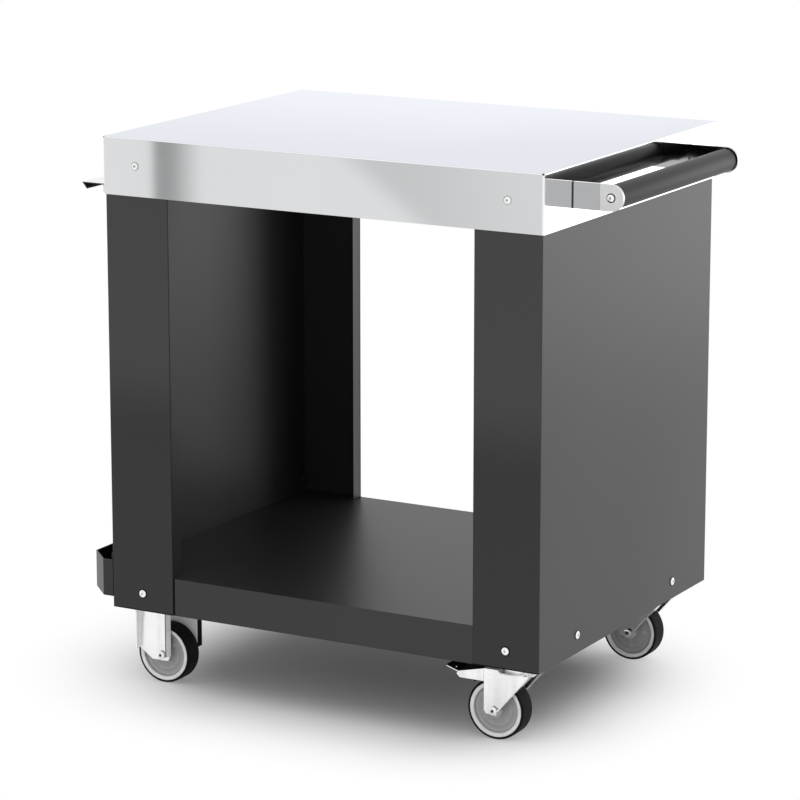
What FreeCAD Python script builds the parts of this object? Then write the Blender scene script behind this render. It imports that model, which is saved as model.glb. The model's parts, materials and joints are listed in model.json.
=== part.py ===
import FreeCAD, Part
import Sketcher
import os
import re

# Outdoor pizza oven table on four casters.
# Frame: +Z up, Z = 0 on the floor, front of the table towards -Y, push handle towards +X,
# origin under the middle of the overall footprint, handle and tool pocket included.
# All sizes are millimetres.

SIZES = {
    "overcut": 1,                # how far a cut runs past the sheet it goes through
    # worktop: a stainless tray turned upside down
    "top_width": 800,            # left to right, outside the skirts
    "top_depth": 634,            # front to back, outside the skirts
    "total_height": 928,         # floor to worktop
    "skirt_height": 95,
    "top_sheet": 1.5,
    "top_edge_radius": 2.5,      # outer radius of every fold
    "skirt_gap": 1.1,            # between the skirt and the panel behind it
    "stiffener_spacing": 260,    # between the two channels under the top
    "stiffener_width": 60,
    "stiffener_foot": 15,
    "stiffener_height": 25,
    "stiffener_end_gap": 2,
    # side panels: one folded sheet each
    "panel_sheet": 1.5,
    "panel_edge_radius": 2,      # outer radius of the upright folds
    "flange_width": 118,         # front, rear and bottom flanges
    "lip_depth": 28,             # return lip on the front and rear flanges
    "top_return": 25,            # inward fold that carries the worktop
    "fold_relief": 3,            # free ends of the inward folds
    # lower shelf: a folded tray between the panels
    "shelf_height": 63,          # shelf top above the bottom of the panels
    "shelf_sheet": 1.5,
    "shelf_gap": 0.3,            # slip fit of the shelf between the panels
    "lip_gap": 1,                # shelf top to the lower end of a lip
    # button head screws of the sheet metal, M6
    "screw_radius": 3,
    "screw_hole_radius": 3.3,
    "screw_head_radius": 5.25,
    "screw_head_crown": 3.2,     # radius of the head's flat top
    "screw_head_height": 3,
    "skirt_screw_drop": 45.5,    # worktop to the screws of the front and rear skirts
    "shelf_screw_rise": 30,      # bottom of the panels to the shelf's screws
    "side_screw_spacing": 360,   # between the two shelf screws of a side
    "screw_flange": 1.2,         # width of the flange round a sheet screw's head
    "screw_flange_height": 0.8,
    "screw_length": 10,
    "short_screw_length": 7,     # the pocket's, which end inside their nuts
    "nut_pilot_radius": 4.5,     # press nuts: the step that sits in the sheet's hole
    "press_nut_radius": 6,
    "press_nut_height": 5,
    "thread_gap": 0.05,          # screw thread to the nut that holds it
    # push handle on the right
    "arm_spacing": 437.2,        # outside to outside of the two arms
    "arm_sheet": 5,
    "arm_height": 42,
    "arm_drop": 46.5,            # worktop to the middle of the arms
    "grip_reach": 65.5,           # skirt to the middle of the grip
    "grip_radius": 19,
    "grip_wall": 2,
    "arm_foot": 36,              # foot folded along the inside of the panel
    "slot_gap": 0.3,             # arm in its slots
    "foot_screw_spacing": 22,
    "plug_length": 22,
    "handle_bolt_radius": 4,
    "handle_bolt_head": 7.5,
    "handle_bolt_crown": 4.6,
    "handle_bolt_head_height": 4,
    "handle_bolt_length": 26,
    # tool rail on the left skirt
    "rail_drop": 79,             # worktop to the top of the rail
    "rail_reach": 43.5,
    "rail_sheet": 1.5,
    "rail_flange": 14.5,         # flange that lies on the skirt
    "rail_lip_drop": 11,
    "rail_lip_return": 9,
    "rail_end_inset": 3,
    "rail_screw_drop": 8.3,
    "rail_screw_spacing": 250,
    # tool pocket on the left panel
    "pocket_rise": 17.5,         # bottom of the panels to the pocket's floor
    "pocket_height": 62,
    "pocket_reach": 60.4,
    "pocket_corner": 41.4,       # legs of the corners cut at 45 degrees
    "pocket_sheet": 1.5,
    "pocket_back_rise": 12,      # back wall above the rim
    "pocket_end_inset": 0,
    "pocket_screw_rise": 2,      # screws above the rim
    "pocket_screw_inset": 8.2,   # first screw from the pocket's end
    # what all four casters share
    "caster_height": 136,
    "caster_side_inset": 66.4,   # panel to the plate's centre
    "caster_end_inset": 65.7,    # flange to the plate's centre
    "plate_length": 100,
    "plate_width": 85,
    "plate_sheet": 4,
    "plate_corner": 9,
    "plate_hole_length": 80,
    "plate_hole_width": 60,
    "plate_hole_radius": 4.3,
    "backing_sheet": 3,
    "bolt_radius": 4,
    "hex_radius": 7.5,           # across the corners of an M8 head, halved
    "hex_height": 5.3,
    "nut_height": 6.5,
    "bolt_spare": 2,             # thread beyond a nut
    "wheel_room": 36,            # above the tyre, to the top of the plate
    "wheel_radius": "=(caster_height - wheel_room) / 2",
    "tyre_width": 34,
    "tyre_shoulder": 2.5,
    "tyre_depth": 4,
    "rim_width": 33,
    "rim_depth": 7,              # light ring under the tyre
    "disc_recess": 5,            # ring's face down to the wheel's disc
    "hub_radius": 13,
    "hub_play": 0.5,             # hub to cheek, each side
    "sleeve_radius": 6,
    "running_gap": 0.05,         # radial play of what turns
    "cheek_gap": 40,             # between the two cheeks of a fork
    "fork_sheet": 2.5,
    "cheek_flange": 12.5,        # stiffening folds of the cheeks
    "bolt_room": 7,              # kept free of folds under the plate
    # fixed casters, left
    "fixed_long": 43.8,          # axle to the far edge of a cheek
    "fixed_short": 17,           # axle to the near edge
    "fixed_toe": 19,
    "fixed_toe_drop": 9.6,
    "fixed_heel_rise": 8,
    "fixed_corner": 5,           # lower corner of the near edge, cut off
    "fixed_corner_rise": 10,
    # swivel casters, right
    "trail": 35,                 # kingpin to axle
    "race_height": 14,
    "race_radius": 31,
    "race_play": 0.5,
    "kingpin_radius": 6,
    "kingpin_head": 10,
    "kingpin_collar": 13,
    "kingpin_collar_height": 5,
    "fork_back": 18,             # axle to the upright edge of the cheeks
    "fork_crown_reach": 34.5,    # kingpin to the front of the crown
    "fork_nose": 3.5,
    "fork_nose_drop": 8.5,
    "fork_toe": 14,
    "fork_toe_drop": 7,
    "fork_heel_drop": 1,
    "fork_fold_rise": 2,         # axle to the lower end of the fold along the rake
    "crown_radius": 36,
    # brakes; heights are measured down from the top of the fork's crown
    "pivot_back": 8,             # axle to the brake's pivot
    "pivot_drop": 14,
    "pivot_radius": 2.5,
    "brake_throw": 10,           # degrees from rest to the pressed brake
    "pedal_play": 0.5,           # pedal between the cheeks, each side
    "pedal_sheet": 1.5,
    "pedal_ear": 8,              # pivot to the ends of the ears
    "pedal_ear_low": 6,
    "pedal_ear_high": 7,
    "pedal_knee": 19,
    "pedal_knee_drop": 1.5,
    "pedal_heel": 66,
    "pedal_heel_fall": 12.5,
    "pedal_heel_cut": 3,         # slanted rear ends of the pedal's cheeks
    "pedal_heel_drop": 5,
    "pedal_bottom_drop": 23,
    "pedal_tip": 87,
    "pedal_tip_drop": 5.5,       # to the steel under the pad
    "tread_sheet": 2,
    "pad_height": 2,
    "pad_start": 2,              # knee to the pad
    "shoe_gap": 0.4,             # shoe to tyre when the brake is pressed
    "shoe_near": 24,
    "shoe_far": 40,
    "shoe_width": 28,
}

doc = FreeCAD.newDocument("PizzaOvenTable")
sheet = doc.addObject("Spreadsheet::Sheet", "Dimensions")
for row, (alias, amount) in enumerate(SIZES.items(), start=1):
    sheet.set(f"A{row}", alias)
    sheet.set(f"B{row}", str(amount))
    sheet.setAlias(f"B{row}", alias)
doc.recompute()

# Places that several pieces share, written with the sheet's own names.
PANEL_X = "(top_width / 2 - top_sheet - skirt_gap)"
PANEL_Y = "(top_depth / 2 - top_sheet - skirt_gap)"
TOP_UNDER = "(total_height - top_sheet)"
SHELF_X = f"({PANEL_X} - panel_sheet - shelf_gap)"
SHELF_Y = f"({PANEL_Y} - panel_sheet - shelf_gap)"
SHELF_TOP = "(caster_height + shelf_height)"
CASTER_X = f"({PANEL_X} - caster_side_inset)"
CASTER_Y = f"({PANEL_Y} - caster_end_inset)"
FLANGE_SCREW_X = f"({PANEL_X} - flange_width / 2)"
SHELF_SCREW_Z = "(caster_height + shelf_screw_rise)"
SKIRT_SCREW_Z = "(total_height - skirt_screw_drop)"
ARM_OUT = "(arm_spacing / 2)"
ARM_Z = "(total_height - arm_drop)"
RAIL_TOP = "(total_height - rail_drop)"
POCKET_FLOOR = "(caster_height + pocket_rise)"
POCKET_RIM = f"({POCKET_FLOOR} + pocket_height)"
POCKET_Y = f"({PANEL_Y} - pocket_end_inset)"
POCKET_FRONT = "(pocket_reach - pocket_corner)"
CHEEK_IN = "(cheek_gap / 2)"
CHEEK_OUT = "(cheek_gap / 2 + fork_sheet)"
PLATE_UNDER = "(caster_height - plate_sheet)"
CROWN_TOP = f"({PLATE_UNDER} - race_height)"
PIVOT_Z = f"({CROWN_TOP} - pivot_drop)"
KNEE_Z = f"({CROWN_TOP} - pedal_knee_drop)"
HEEL_Z = f"({CROWN_TOP} - pedal_heel_fall)"
PILOT_HOLE = "nut_pilot_radius + thread_gap"
# Half of what the handle reaches beyond the tool pocket: it centres the footprint on the origin.
FOOTPRINT_SHIFT = f"(({PANEL_X} + pocket_reach) - (top_width / 2 + grip_reach + arm_height / 2)) / 2"

sub_parts = []


def cells(text):
    """The same expression with every size written as a cell of the sheet."""
    return re.sub(r"[a-z_]+", lambda word: "Dimensions." + word.group() if word.group() in SIZES
                  else word.group(), text)


def number(text):
    return float(sheet.evalExpression(text))


def bind(item, prop, text):
    item.setExpression(prop, cells(text))


def keep(item, label, x="0", y="0", z="0"):
    """Names a finished sub-part and stands it in the table's frame."""
    item.Label = label
    bind(item, "Placement.Base.x", f"{FOOTPRINT_SHIFT} + {x}")
    bind(item, "Placement.Base.y", y)
    bind(item, "Placement.Base.z", z)
    sub_parts.append(item)
    return item


def new_body(name):
    return doc.addObject("PartDesign::Body", name)


def sketch_on(body, normal, place):
    """An empty sketch square to one axis of the body, at a signed place along that axis."""
    role = {"X": "YZ_Plane", "Y": "XZ_Plane", "Z": "XY_Plane"}[normal]
    plane = [item for item in body.Origin.OriginFeatures if item.Role == role][0]
    sketch = body.newObject("Sketcher::SketchObject", "Outline")
    sketch.AttachmentSupport = (plane, [""])
    sketch.MapMode = "FlatFace"
    # the XZ plane of a body faces -Y
    bind(sketch, "AttachmentOffset.Base.z", f"-({place})" if normal == "Y" else place)
    return sketch


def pin_point(sketch, geometry, point, across, up):
    """Holds one point of the sketch at two distances from its origin."""
    for kind, text in (("DistanceX", across), ("DistanceY", up)):
        held = sketch.addConstraint(Sketcher.Constraint(kind, -1, 1, geometry, point, number(text)))
        bind(sketch, f"Constraints[{held}]", text)


def draw_polygon(sketch, corners):
    first = sketch.GeometryCount
    spots = [FreeCAD.Vector(number(across), number(up), 0) for across, up in corners]
    count = len(spots)
    for index in range(count):
        sketch.addGeometry(Part.LineSegment(spots[index], spots[(index + 1) % count]), False)
    for index in range(count):
        follower = first + (index + 1) % count
        sketch.addConstraint(Sketcher.Constraint("Coincident", first + index, 2, follower, 1))
    for index, (across, up) in enumerate(corners):
        pin_point(sketch, first + index, 1, across, up)


def draw_circle(sketch, across, up, radius):
    centre = FreeCAD.Vector(number(across), number(up), 0)
    circle = sketch.addGeometry(Part.Circle(centre, FreeCAD.Vector(0, 0, 1), number(radius)), False)
    pin_point(sketch, circle, 3, across, up)
    held = sketch.addConstraint(Sketcher.Constraint("Radius", circle, number(radius)))
    bind(sketch, f"Constraints[{held}]", radius)


def draw(sketch, loops):
    """Each loop is a list of corners, or (across, up, radius) for a circle."""
    for loop in loops:
        if isinstance(loop, tuple):
            draw_circle(sketch, *loop)
        else:
            draw_polygon(sketch, loop)


def slab(body, normal, low, high, *loops):
    """Material between two planes square to one axis."""
    sketch = sketch_on(body, normal, high if normal == "Y" else low)
    draw(sketch, loops)
    pad = body.newObject("PartDesign::Pad", "Pad")
    pad.Profile = sketch
    bind(pad, "Length", f"({high}) - ({low})")
    doc.recompute()
    return pad


def cut(body, normal, low, high, *loops):
    """Removes what lies between two planes square to one axis."""
    before = body.Shape.Volume
    sketch = sketch_on(body, normal, low if normal == "Y" else high)
    draw(sketch, loops)
    pocket = body.newObject("PartDesign::Pocket", "Pocket")
    pocket.Profile = sketch
    bind(pocket, "Length", f"({high}) - ({low})")
    doc.recompute()
    if not pocket.Shape.Volume < before:
        raise RuntimeError(f"a pocket of {body.Name} removes nothing")
    return pocket


def rectangle(low_across, high_across, low_up, high_up):
    return [(low_across, low_up), (high_across, low_up), (high_across, high_up), (low_across, high_up)]


def round_edges(body, radius, wanted):
    """Fillets the edges of the body's last feature that the test picks."""
    base = body.Tip
    names = [f"Edge{index}" for index, edge in enumerate(base.Shape.Edges, start=1) if wanted(edge)]
    fillet = body.newObject("PartDesign::Fillet", "Fillet")
    fillet.Base = (base, names)
    bind(fillet, "Radius", radius)
    doc.recompute()
    return fillet


def along(edge, axis):
    """Whether a straight edge runs along the given axis."""
    ends = edge.Vertexes
    if len(ends) != 2 or not isinstance(edge.Curve, (Part.Line, Part.LineSegment)):
        return False
    span = ends[1].Point - ends[0].Point
    return abs(abs(span.normalize().dot(axis)) - 1) < 1e-6


def revolved(body, corners):
    """Turns a half section, given as (along Y, radius), about the body's Y axis."""
    sketch = sketch_on(body, "X", "0")
    draw(sketch, [corners])
    turned = body.newObject("PartDesign::Revolution", "Revolution")
    turned.Profile = sketch
    turned.ReferenceAxis = (sketch, ["H_Axis"])
    turned.Angle = 360
    doc.recompute()
    return turned


def primitive(kind, sizes, x="0", y="0", z="0", turn=None):
    """A Part solid with bound sizes; turn is (axis, degrees)."""
    item = doc.addObject("Part::" + kind, kind)
    for prop, text in sizes.items():
        bind(item, prop, text)
    if turn:
        item.Placement.Rotation = FreeCAD.Rotation(*turn)
    for letter, text in zip("xyz", (x, y, z)):
        bind(item, f"Placement.Base.{letter}", text)
    return item


def fused(*items):
    item = doc.addObject("Part::MultiFuse", "Fusion")
    item.Shapes = list(items)
    return item


def less(base, tool):
    item = doc.addObject("Part::Cut", "Cut")
    item.Base = base
    item.Tool = tool
    return item


def group(label, items):
    """Identical pieces that share one node, each a solid of its own."""
    item = doc.addObject("Part::Compound", "Group")
    item.Links = items
    return keep(item, label)


# Direction of a screw, from its head to its point: the turn that brings +Z there, and the sign.
TURNS = {
    "+X": ((FreeCAD.Vector(0, 1, 0), 90), "x", "+"),
    "-X": ((FreeCAD.Vector(0, 1, 0), -90), "x", "-"),
    "+Y": ((FreeCAD.Vector(1, 0, 0), -90), "y", "+"),
    "-Y": ((FreeCAD.Vector(1, 0, 0), 90), "y", "-"),
    "+Z": (None, "z", "+"),
}


def ahead(place, direction, distance):
    """A place moved along a screw's direction."""
    _, letter, sign = TURNS[direction]
    moved = dict(zip("xyz", place))
    moved[letter] = f"{moved[letter]} {sign} ({distance})"
    return moved["x"], moved["y"], moved["z"]


def button_screw(place, direction, length, radius="screw_radius", head="screw_head_radius",
                 crown="screw_head_crown", height="screw_head_height"):
    """A button head that sits on the given place, and its shank beyond."""
    turn = TURNS[direction][0]
    back = ahead(place, direction, f"-{height}")
    cap = primitive("Cone", {"Radius1": crown, "Radius2": head, "Height": height}, *back, turn)
    shank = primitive("Cylinder", {"Radius": radius, "Height": length}, *place, turn)
    return fused(cap, shank)


def flanged_screw(place, direction, length):
    """A button head screw whose head spreads into a thin flange at the sheet."""
    flange = primitive("Cone", {"Radius1": "screw_head_radius",
                                "Radius2": "screw_head_radius + screw_flange",
                                "Height": "screw_flange_height"},
                       *ahead(place, direction, "-screw_flange_height"), TURNS[direction][0])
    return fused(button_screw(place, direction, length), flange)


def press_nut(place, direction, sheet_size):
    """A round nut pressed into a hole from behind: the place lies on the sheet's screw side."""
    turn = TURNS[direction][0]
    behind = ahead(place, direction, sheet_size)
    step = primitive("Cylinder", {"Radius": "nut_pilot_radius", "Height": sheet_size}, *place, turn)
    collar = primitive("Cylinder", {"Radius": "press_nut_radius", "Height": "press_nut_height"},
                       *behind, turn)
    bore = primitive("Cylinder", {"Radius": "screw_radius + thread_gap",
                                  "Height": f"{sheet_size} + press_nut_height"}, *place, turn)
    return less(fused(step, collar), bore)


def hex_block(place, direction, height):
    return primitive("Prism", {"Circumradius": "hex_radius", "Height": height}, *place,
                     TURNS[direction][0])


def worktop():
    body = new_body("Worktop")
    low = "total_height - skirt_height"
    slab(body, "Z", low, "total_height",
         rectangle("-top_width / 2", "top_width / 2", "-top_depth / 2", "top_depth / 2"))
    upright = FreeCAD.Vector(0, 0, 1)
    round_edges(body, "top_edge_radius",
                lambda edge: along(edge, upright)
                or min(vertex.Z for vertex in edge.Vertexes) > number("total_height") - 0.001)
    inner_x = "top_width / 2 - top_sheet"
    inner_y = "top_depth / 2 - top_sheet"
    cut(body, "Z", low, TOP_UNDER, rectangle(f"-({inner_x})", inner_x, f"-({inner_y})", inner_y))
    # screw holes run through the front and rear skirts, or through both side skirts
    cut(body, "Y", "-top_depth", "top_depth",
        (f"-{FLANGE_SCREW_X}", SKIRT_SCREW_Z, "screw_hole_radius"),
        (FLANGE_SCREW_X, SKIRT_SCREW_Z, "screw_hole_radius"))
    cut(body, "X", "0", "top_width", *arm_slots())
    cut(body, "X", "-top_width", "0", *rail_holes("screw_hole_radius"))
    return keep(body, "worktop")


def arm_slots():
    """The two upright slots that the handle arms stand out of, as (y, z) outlines."""
    low = f"{ARM_Z} - arm_height / 2 - slot_gap"
    high = f"{ARM_Z} + arm_height / 2 + slot_gap"
    inner = f"{ARM_OUT} - arm_sheet - slot_gap"
    outer = f"{ARM_OUT} + slot_gap"
    return [rectangle(inner, outer, low, high), rectangle(f"-({outer})", f"-({inner})", low, high)]


def rail_holes(radius):
    height = f"{RAIL_TOP} - rail_screw_drop"
    return [(f"{step} * rail_screw_spacing", height, radius) for step in (-1, 0, 1)]


def foot_screw_places():
    """Screws of the handle's feet, as (y, z)."""
    across = f"{ARM_OUT} - arm_sheet / 2 - arm_foot / 2"
    return [(f"{side} * ({across})", f"{ARM_Z} + {step} * foot_screw_spacing / 2")
            for side in (-1, 1) for step in (-1, 1)]


def pocket_screw_places():
    """Screws of the tool pocket, as (y, z)."""
    height = f"{POCKET_RIM} + pocket_screw_rise"
    end = f"{POCKET_Y} - pocket_screw_inset"
    return [(f"-({end})", height), (end, height)]


def stiffeners():
    """Two hat channels welded under the worktop, front to back."""
    channels = []
    for side in (-1, 1):
        body = new_body("Channel")
        middle = f"{side} * stiffener_spacing / 2"
        web = f"{middle} - stiffener_width / 2 + stiffener_foot"
        far_web = f"{middle} + stiffener_width / 2 - stiffener_foot"
        low = f"{TOP_UNDER} - stiffener_height"
        left = f"{middle} - stiffener_width / 2"
        right = f"{middle} + stiffener_width / 2"
        foot = f"{TOP_UNDER} - top_sheet"
        outline = [(left, TOP_UNDER), (left, foot), (f"{web}", foot), (f"{web}", low),
                   (far_web, low), (far_web, foot), (right, foot), (right, TOP_UNDER),
                   (f"{far_web} - top_sheet", TOP_UNDER),
                   (f"{far_web} - top_sheet", f"{low} + top_sheet"),
                   (f"{web} + top_sheet", f"{low} + top_sheet"), (f"{web} + top_sheet", TOP_UNDER)]
        end = f"{PANEL_Y} - stiffener_end_gap"
        slab(body, "Y", f"-({end})", end, outline)
        channels.append(body)
    return group("worktop_stiffeners", channels)


def side_panel(side, label):
    """Outer wall, front and rear flanges with return lips, and inward folds at top and bottom."""
    body = new_body("SidePanel")
    wall_out = f"{side} * {PANEL_X}"
    wall_in = f"{side} * ({PANEL_X} - panel_sheet)"
    edge_out = f"{side} * ({PANEL_X} - flange_width)"
    edge_in = f"{side} * ({PANEL_X} - flange_width + panel_sheet)"
    face = PANEL_Y
    behind = f"({PANEL_Y} - panel_sheet)"
    lip_end = f"({PANEL_Y} - lip_depth)"
    outline = [(edge_out, f"-{face}"), (wall_out, f"-{face}"), (wall_out, face), (edge_out, face),
               (edge_out, lip_end), (edge_in, lip_end), (edge_in, behind), (wall_in, behind),
               (wall_in, f"-{behind}"), (edge_in, f"-{behind}"), (edge_in, f"-{lip_end}"),
               (edge_out, f"-{lip_end}")]
    slab(body, "Z", "caster_height", TOP_UNDER, outline)
    folds = number(PANEL_Y) - 0.001
    round_edges(body, "panel_edge_radius",
                lambda edge: along(edge, FreeCAD.Vector(0, 0, 1))
                and abs(edge.Vertexes[0].Y) > folds)
    # the lips end above the shelf, which runs on behind the flanges
    past_lip = f"{side} * ({PANEL_X} - flange_width - panel_sheet)"
    within = f"{side} * ({PANEL_X} - flange_width + 2 * panel_sheet)"
    past_end = f"({lip_end} - panel_sheet)"
    cut(body, "Z", "caster_height", f"{SHELF_TOP} + lip_gap",
        [(past_lip, f"-{behind}"), (within, f"-{behind}"), (within, f"-{past_end}"),
         (past_lip, f"-{past_end}")],
        [(past_lip, past_end), (within, past_end), (within, behind), (past_lip, behind)])
    fold_end = f"({SHELF_Y} - shelf_sheet - shelf_gap - fold_relief)"
    for low, high, reach in (("caster_height", "caster_height + panel_sheet", "flange_width"),
                             (f"{TOP_UNDER} - panel_sheet", TOP_UNDER, "top_return")):
        inner = f"{side} * ({PANEL_X} - {reach})"
        slab(body, "Z", low, high, [(inner, f"-{fold_end}"), (wall_out, f"-{fold_end}"),
                                    (wall_out, fold_end), (inner, fold_end)])
    cut(body, "Y", "-top_depth", "top_depth",
        (f"{side} * {FLANGE_SCREW_X}", SHELF_SCREW_Z, "screw_hole_radius"),
        (f"{side} * {FLANGE_SCREW_X}", SKIRT_SCREW_Z, PILOT_HOLE))
    side_holes = [(f"{step} * side_screw_spacing / 2", SHELF_SCREW_Z, "screw_hole_radius")
                  for step in (-1, 1)]
    if side > 0:
        side_holes += arm_slots()
        side_holes += [(y, z, "screw_radius + thread_gap") for y, z in foot_screw_places()]
    else:
        side_holes += rail_holes(PILOT_HOLE)
        side_holes += [(y, z, PILOT_HOLE) for y, z in pocket_screw_places()]
    wall = (f"{PANEL_X} - 2 * panel_sheet", "top_width") if side > 0 else \
           ("-top_width", f"2 * panel_sheet - {PANEL_X}")
    cut(body, "X", *wall, *side_holes)
    holes = [(f"{side} * {CASTER_X} + {step_x} * plate_hole_length / 2",
              f"{end} * {CASTER_Y} + {step_y} * plate_hole_width / 2", "plate_hole_radius")
             for end in (-1, 1) for step_x in (-1, 1) for step_y in (-1, 1)]
    cut(body, "Z", "caster_height - panel_sheet", "caster_height + 2 * panel_sheet", *holes)
    return keep(body, label)


def lower_shelf():
    """A tray with its skirts down: the front and rear ones show between the panels' flanges."""
    body = new_body("LowerShelf")
    slab(body, "Z", "caster_height", SHELF_TOP,
         rectangle(f"-{SHELF_X}", SHELF_X, f"-{SHELF_Y}", SHELF_Y))
    across = f"({SHELF_X} - shelf_sheet)"
    deep = f"({SHELF_Y} - shelf_sheet)"
    cut(body, "Z", "caster_height", f"{SHELF_TOP} - shelf_sheet",
        rectangle(f"-{across}", across, f"-{deep}", deep))
    # the side skirts stop above the panels' bottom folds
    notch = f"({SHELF_X} - 2 * shelf_sheet)"
    clear = "caster_height + panel_sheet + lip_gap"
    cut(body, "Z", "caster_height - overcut", clear,
        rectangle("-top_width / 2", f"-{notch}", "-top_depth / 2", "top_depth / 2"),
        rectangle(notch, "top_width / 2", "-top_depth / 2", "top_depth / 2"))
    cut(body, "Y", "-top_depth", "top_depth",
        (f"-{FLANGE_SCREW_X}", SHELF_SCREW_Z, PILOT_HOLE),
        (FLANGE_SCREW_X, SHELF_SCREW_Z, PILOT_HOLE))
    cut(body, "X", "-top_width", "top_width",
        ("-side_screw_spacing / 2", SHELF_SCREW_Z, PILOT_HOLE),
        ("side_screw_spacing / 2", SHELF_SCREW_Z, PILOT_HOLE))
    return keep(body, "lower_shelf")


def sheet_metal_screws():
    """The worktop's, the shelf's, the rail's and the pocket's screws, and their press nuts."""
    nuts = []
    top_screws = []
    shelf_screws = []
    for side in (-1, 1):
        x = f"{side} * {FLANGE_SCREW_X}"
        for sign, direction in (("-", "+Y"), ("", "-Y")):
            top_screws.append(flanged_screw((x, f"{sign}top_depth / 2", SKIRT_SCREW_Z), direction,
                                            "screw_length"))
            nuts.append(press_nut((x, f"{sign}{PANEL_Y}", SKIRT_SCREW_Z), direction, "panel_sheet"))
            shelf_screws.append(flanged_screw((x, f"{sign}{PANEL_Y}", SHELF_SCREW_Z), direction,
                                              "screw_length"))
            nuts.append(press_nut((x, f"{sign}{SHELF_Y}", SHELF_SCREW_Z), direction, "shelf_sheet"))
            y = f"{sign}side_screw_spacing / 2"
            inward = "-X" if side > 0 else "+X"
            # on the left the same screws go through the tool pocket's back
            seat = PANEL_X if side > 0 else f"-({PANEL_X} + pocket_sheet)"
            shelf_screws.append(flanged_screw((seat, y, SHELF_SCREW_Z), inward, "screw_length"))
            nuts.append(press_nut((f"{side} * {SHELF_X}", y, SHELF_SCREW_Z), inward, "shelf_sheet"))
    rack_screws = []
    for y, z, _ in rail_holes("screw_hole_radius"):
        rack_screws.append(button_screw(("-top_width / 2 - rail_sheet", y, z), "+X",
                                        "screw_length + rail_sheet"))
        nuts.append(press_nut((f"-{PANEL_X}", y, z), "+X", "panel_sheet"))
    for y, z in pocket_screw_places():
        rack_screws.append(flanged_screw((f"-{PANEL_X} - pocket_sheet", y, z), "+X",
                                         "short_screw_length"))
        nuts.append(press_nut((f"-{PANEL_X}", y, z), "+X", "panel_sheet"))
    group("worktop_screws", top_screws)
    group("shelf_screws", shelf_screws)
    group("rail_and_pocket_screws", rack_screws)
    group("press_nuts", nuts)


def handle_arm(side, label):
    """A flat bar that stands out of its slots, rounded round the grip, with a foot inside."""
    body = new_body("HandleArm")
    inside = f"({PANEL_X} - panel_sheet)"
    axis = "(top_width / 2 + grip_reach)"
    low = f"({ARM_Z} - arm_height / 2)"
    high = f"({ARM_Z} + arm_height / 2)"
    faces = (f"{ARM_OUT} - arm_sheet", ARM_OUT) if side > 0 else \
            (f"-{ARM_OUT}", f"arm_sheet - {ARM_OUT}")
    slab(body, "Y", *faces, rectangle(f"{inside} - arm_sheet", axis, low, high))
    slab(body, "Y", *faces, (axis, ARM_Z, "arm_height / 2"))
    foot = (f"{ARM_OUT} - arm_foot", ARM_OUT) if side > 0 else \
           (f"-{ARM_OUT}", f"arm_foot - {ARM_OUT}")
    slab(body, "X", f"{inside} - arm_sheet", inside, rectangle(*foot, low, high))
    cut(body, "Y", "-top_depth", "top_depth", (axis, ARM_Z, "handle_bolt_radius + thread_gap"))
    cut(body, "X", f"{inside} - 2 * arm_sheet", f"{inside} + panel_sheet",
        *[(y, z, "screw_hole_radius") for y, z in foot_screw_places()
          if number(y) * side > 0])
    return keep(body, label)


def handle():
    handle_arm(-1, "handle_arm_front")
    handle_arm(1, "handle_arm_rear")
    axis = "top_width / 2 + grip_reach"
    end = f"({ARM_OUT} - arm_sheet)"
    turn = (FreeCAD.Vector(1, 0, 0), -90)
    tube = primitive("Cylinder", {"Radius": "grip_radius", "Height": f"2 * {end}"},
                     axis, f"-{end}", ARM_Z, turn)
    bore = primitive("Cylinder", {"Radius": "grip_radius - grip_wall", "Height": f"2 * {end}"},
                     axis, f"-{end}", ARM_Z, turn)
    keep(less(tube, bore), "handle_grip")
    plugs = []
    bolts = []
    for sign, direction in (("-", "+Y"), ("", "-Y")):
        face = (axis, f"{sign}{end}", ARM_Z)
        plug = primitive("Cylinder", {"Radius": "grip_radius - grip_wall",
                                      "Height": "plug_length"}, *face, TURNS[direction][0])
        hole = primitive("Cylinder", {"Radius": "handle_bolt_radius + thread_gap",
                                      "Height": "plug_length"}, *face, TURNS[direction][0])
        plugs.append(less(plug, hole))
        bolts.append(button_screw((axis, f"{sign}{ARM_OUT}", ARM_Z), direction,
                                  "handle_bolt_length", "handle_bolt_radius", "handle_bolt_head",
                                  "handle_bolt_crown", "handle_bolt_head_height"))
    group("handle_end_plugs", plugs)
    group("handle_bolts", bolts)
    head_seat = f"{PANEL_X} - panel_sheet - arm_sheet"
    group("handle_foot_screws",
          [button_screw((head_seat, y, z), "+X", "arm_sheet + panel_sheet + slot_gap")
           for y, z in foot_screw_places()])


def tool_rail():
    """A folded gutter, mouth down: a flange on the skirt, a flat top and a lip turned back in."""
    body = new_body("ToolRail")
    skirt = "-top_width / 2"
    flange_in = f"{skirt} - rail_sheet"
    front = f"{skirt} - rail_reach"
    lip = "sqrt(rail_lip_return ^ 2 + rail_lip_drop ^ 2)"
    lip_end = (f"{front} + rail_lip_return", f"{RAIL_TOP} - rail_lip_drop")
    lip_end_in = (f"{lip_end[0]} + rail_sheet * rail_lip_drop / {lip}",
                  f"{lip_end[1]} + rail_sheet * rail_lip_return / {lip}")
    fold_in = f"{front} + rail_sheet * ({lip} + rail_lip_return) / rail_lip_drop"
    outline = [(skirt, f"{RAIL_TOP} - rail_flange"), (skirt, RAIL_TOP), (front, RAIL_TOP),
               lip_end, lip_end_in, (fold_in, f"{RAIL_TOP} - rail_sheet"),
               (flange_in, f"{RAIL_TOP} - rail_sheet"), (flange_in, f"{RAIL_TOP} - rail_flange")]
    end = "(top_depth / 2 - rail_end_inset)"
    slab(body, "Y", f"-{end}", end, outline)
    cut(body, "X", f"{skirt} - rail_sheet - overcut", f"{skirt} + overcut",
        *rail_holes("screw_hole_radius"))
    return keep(body, "tool_rail")


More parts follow.
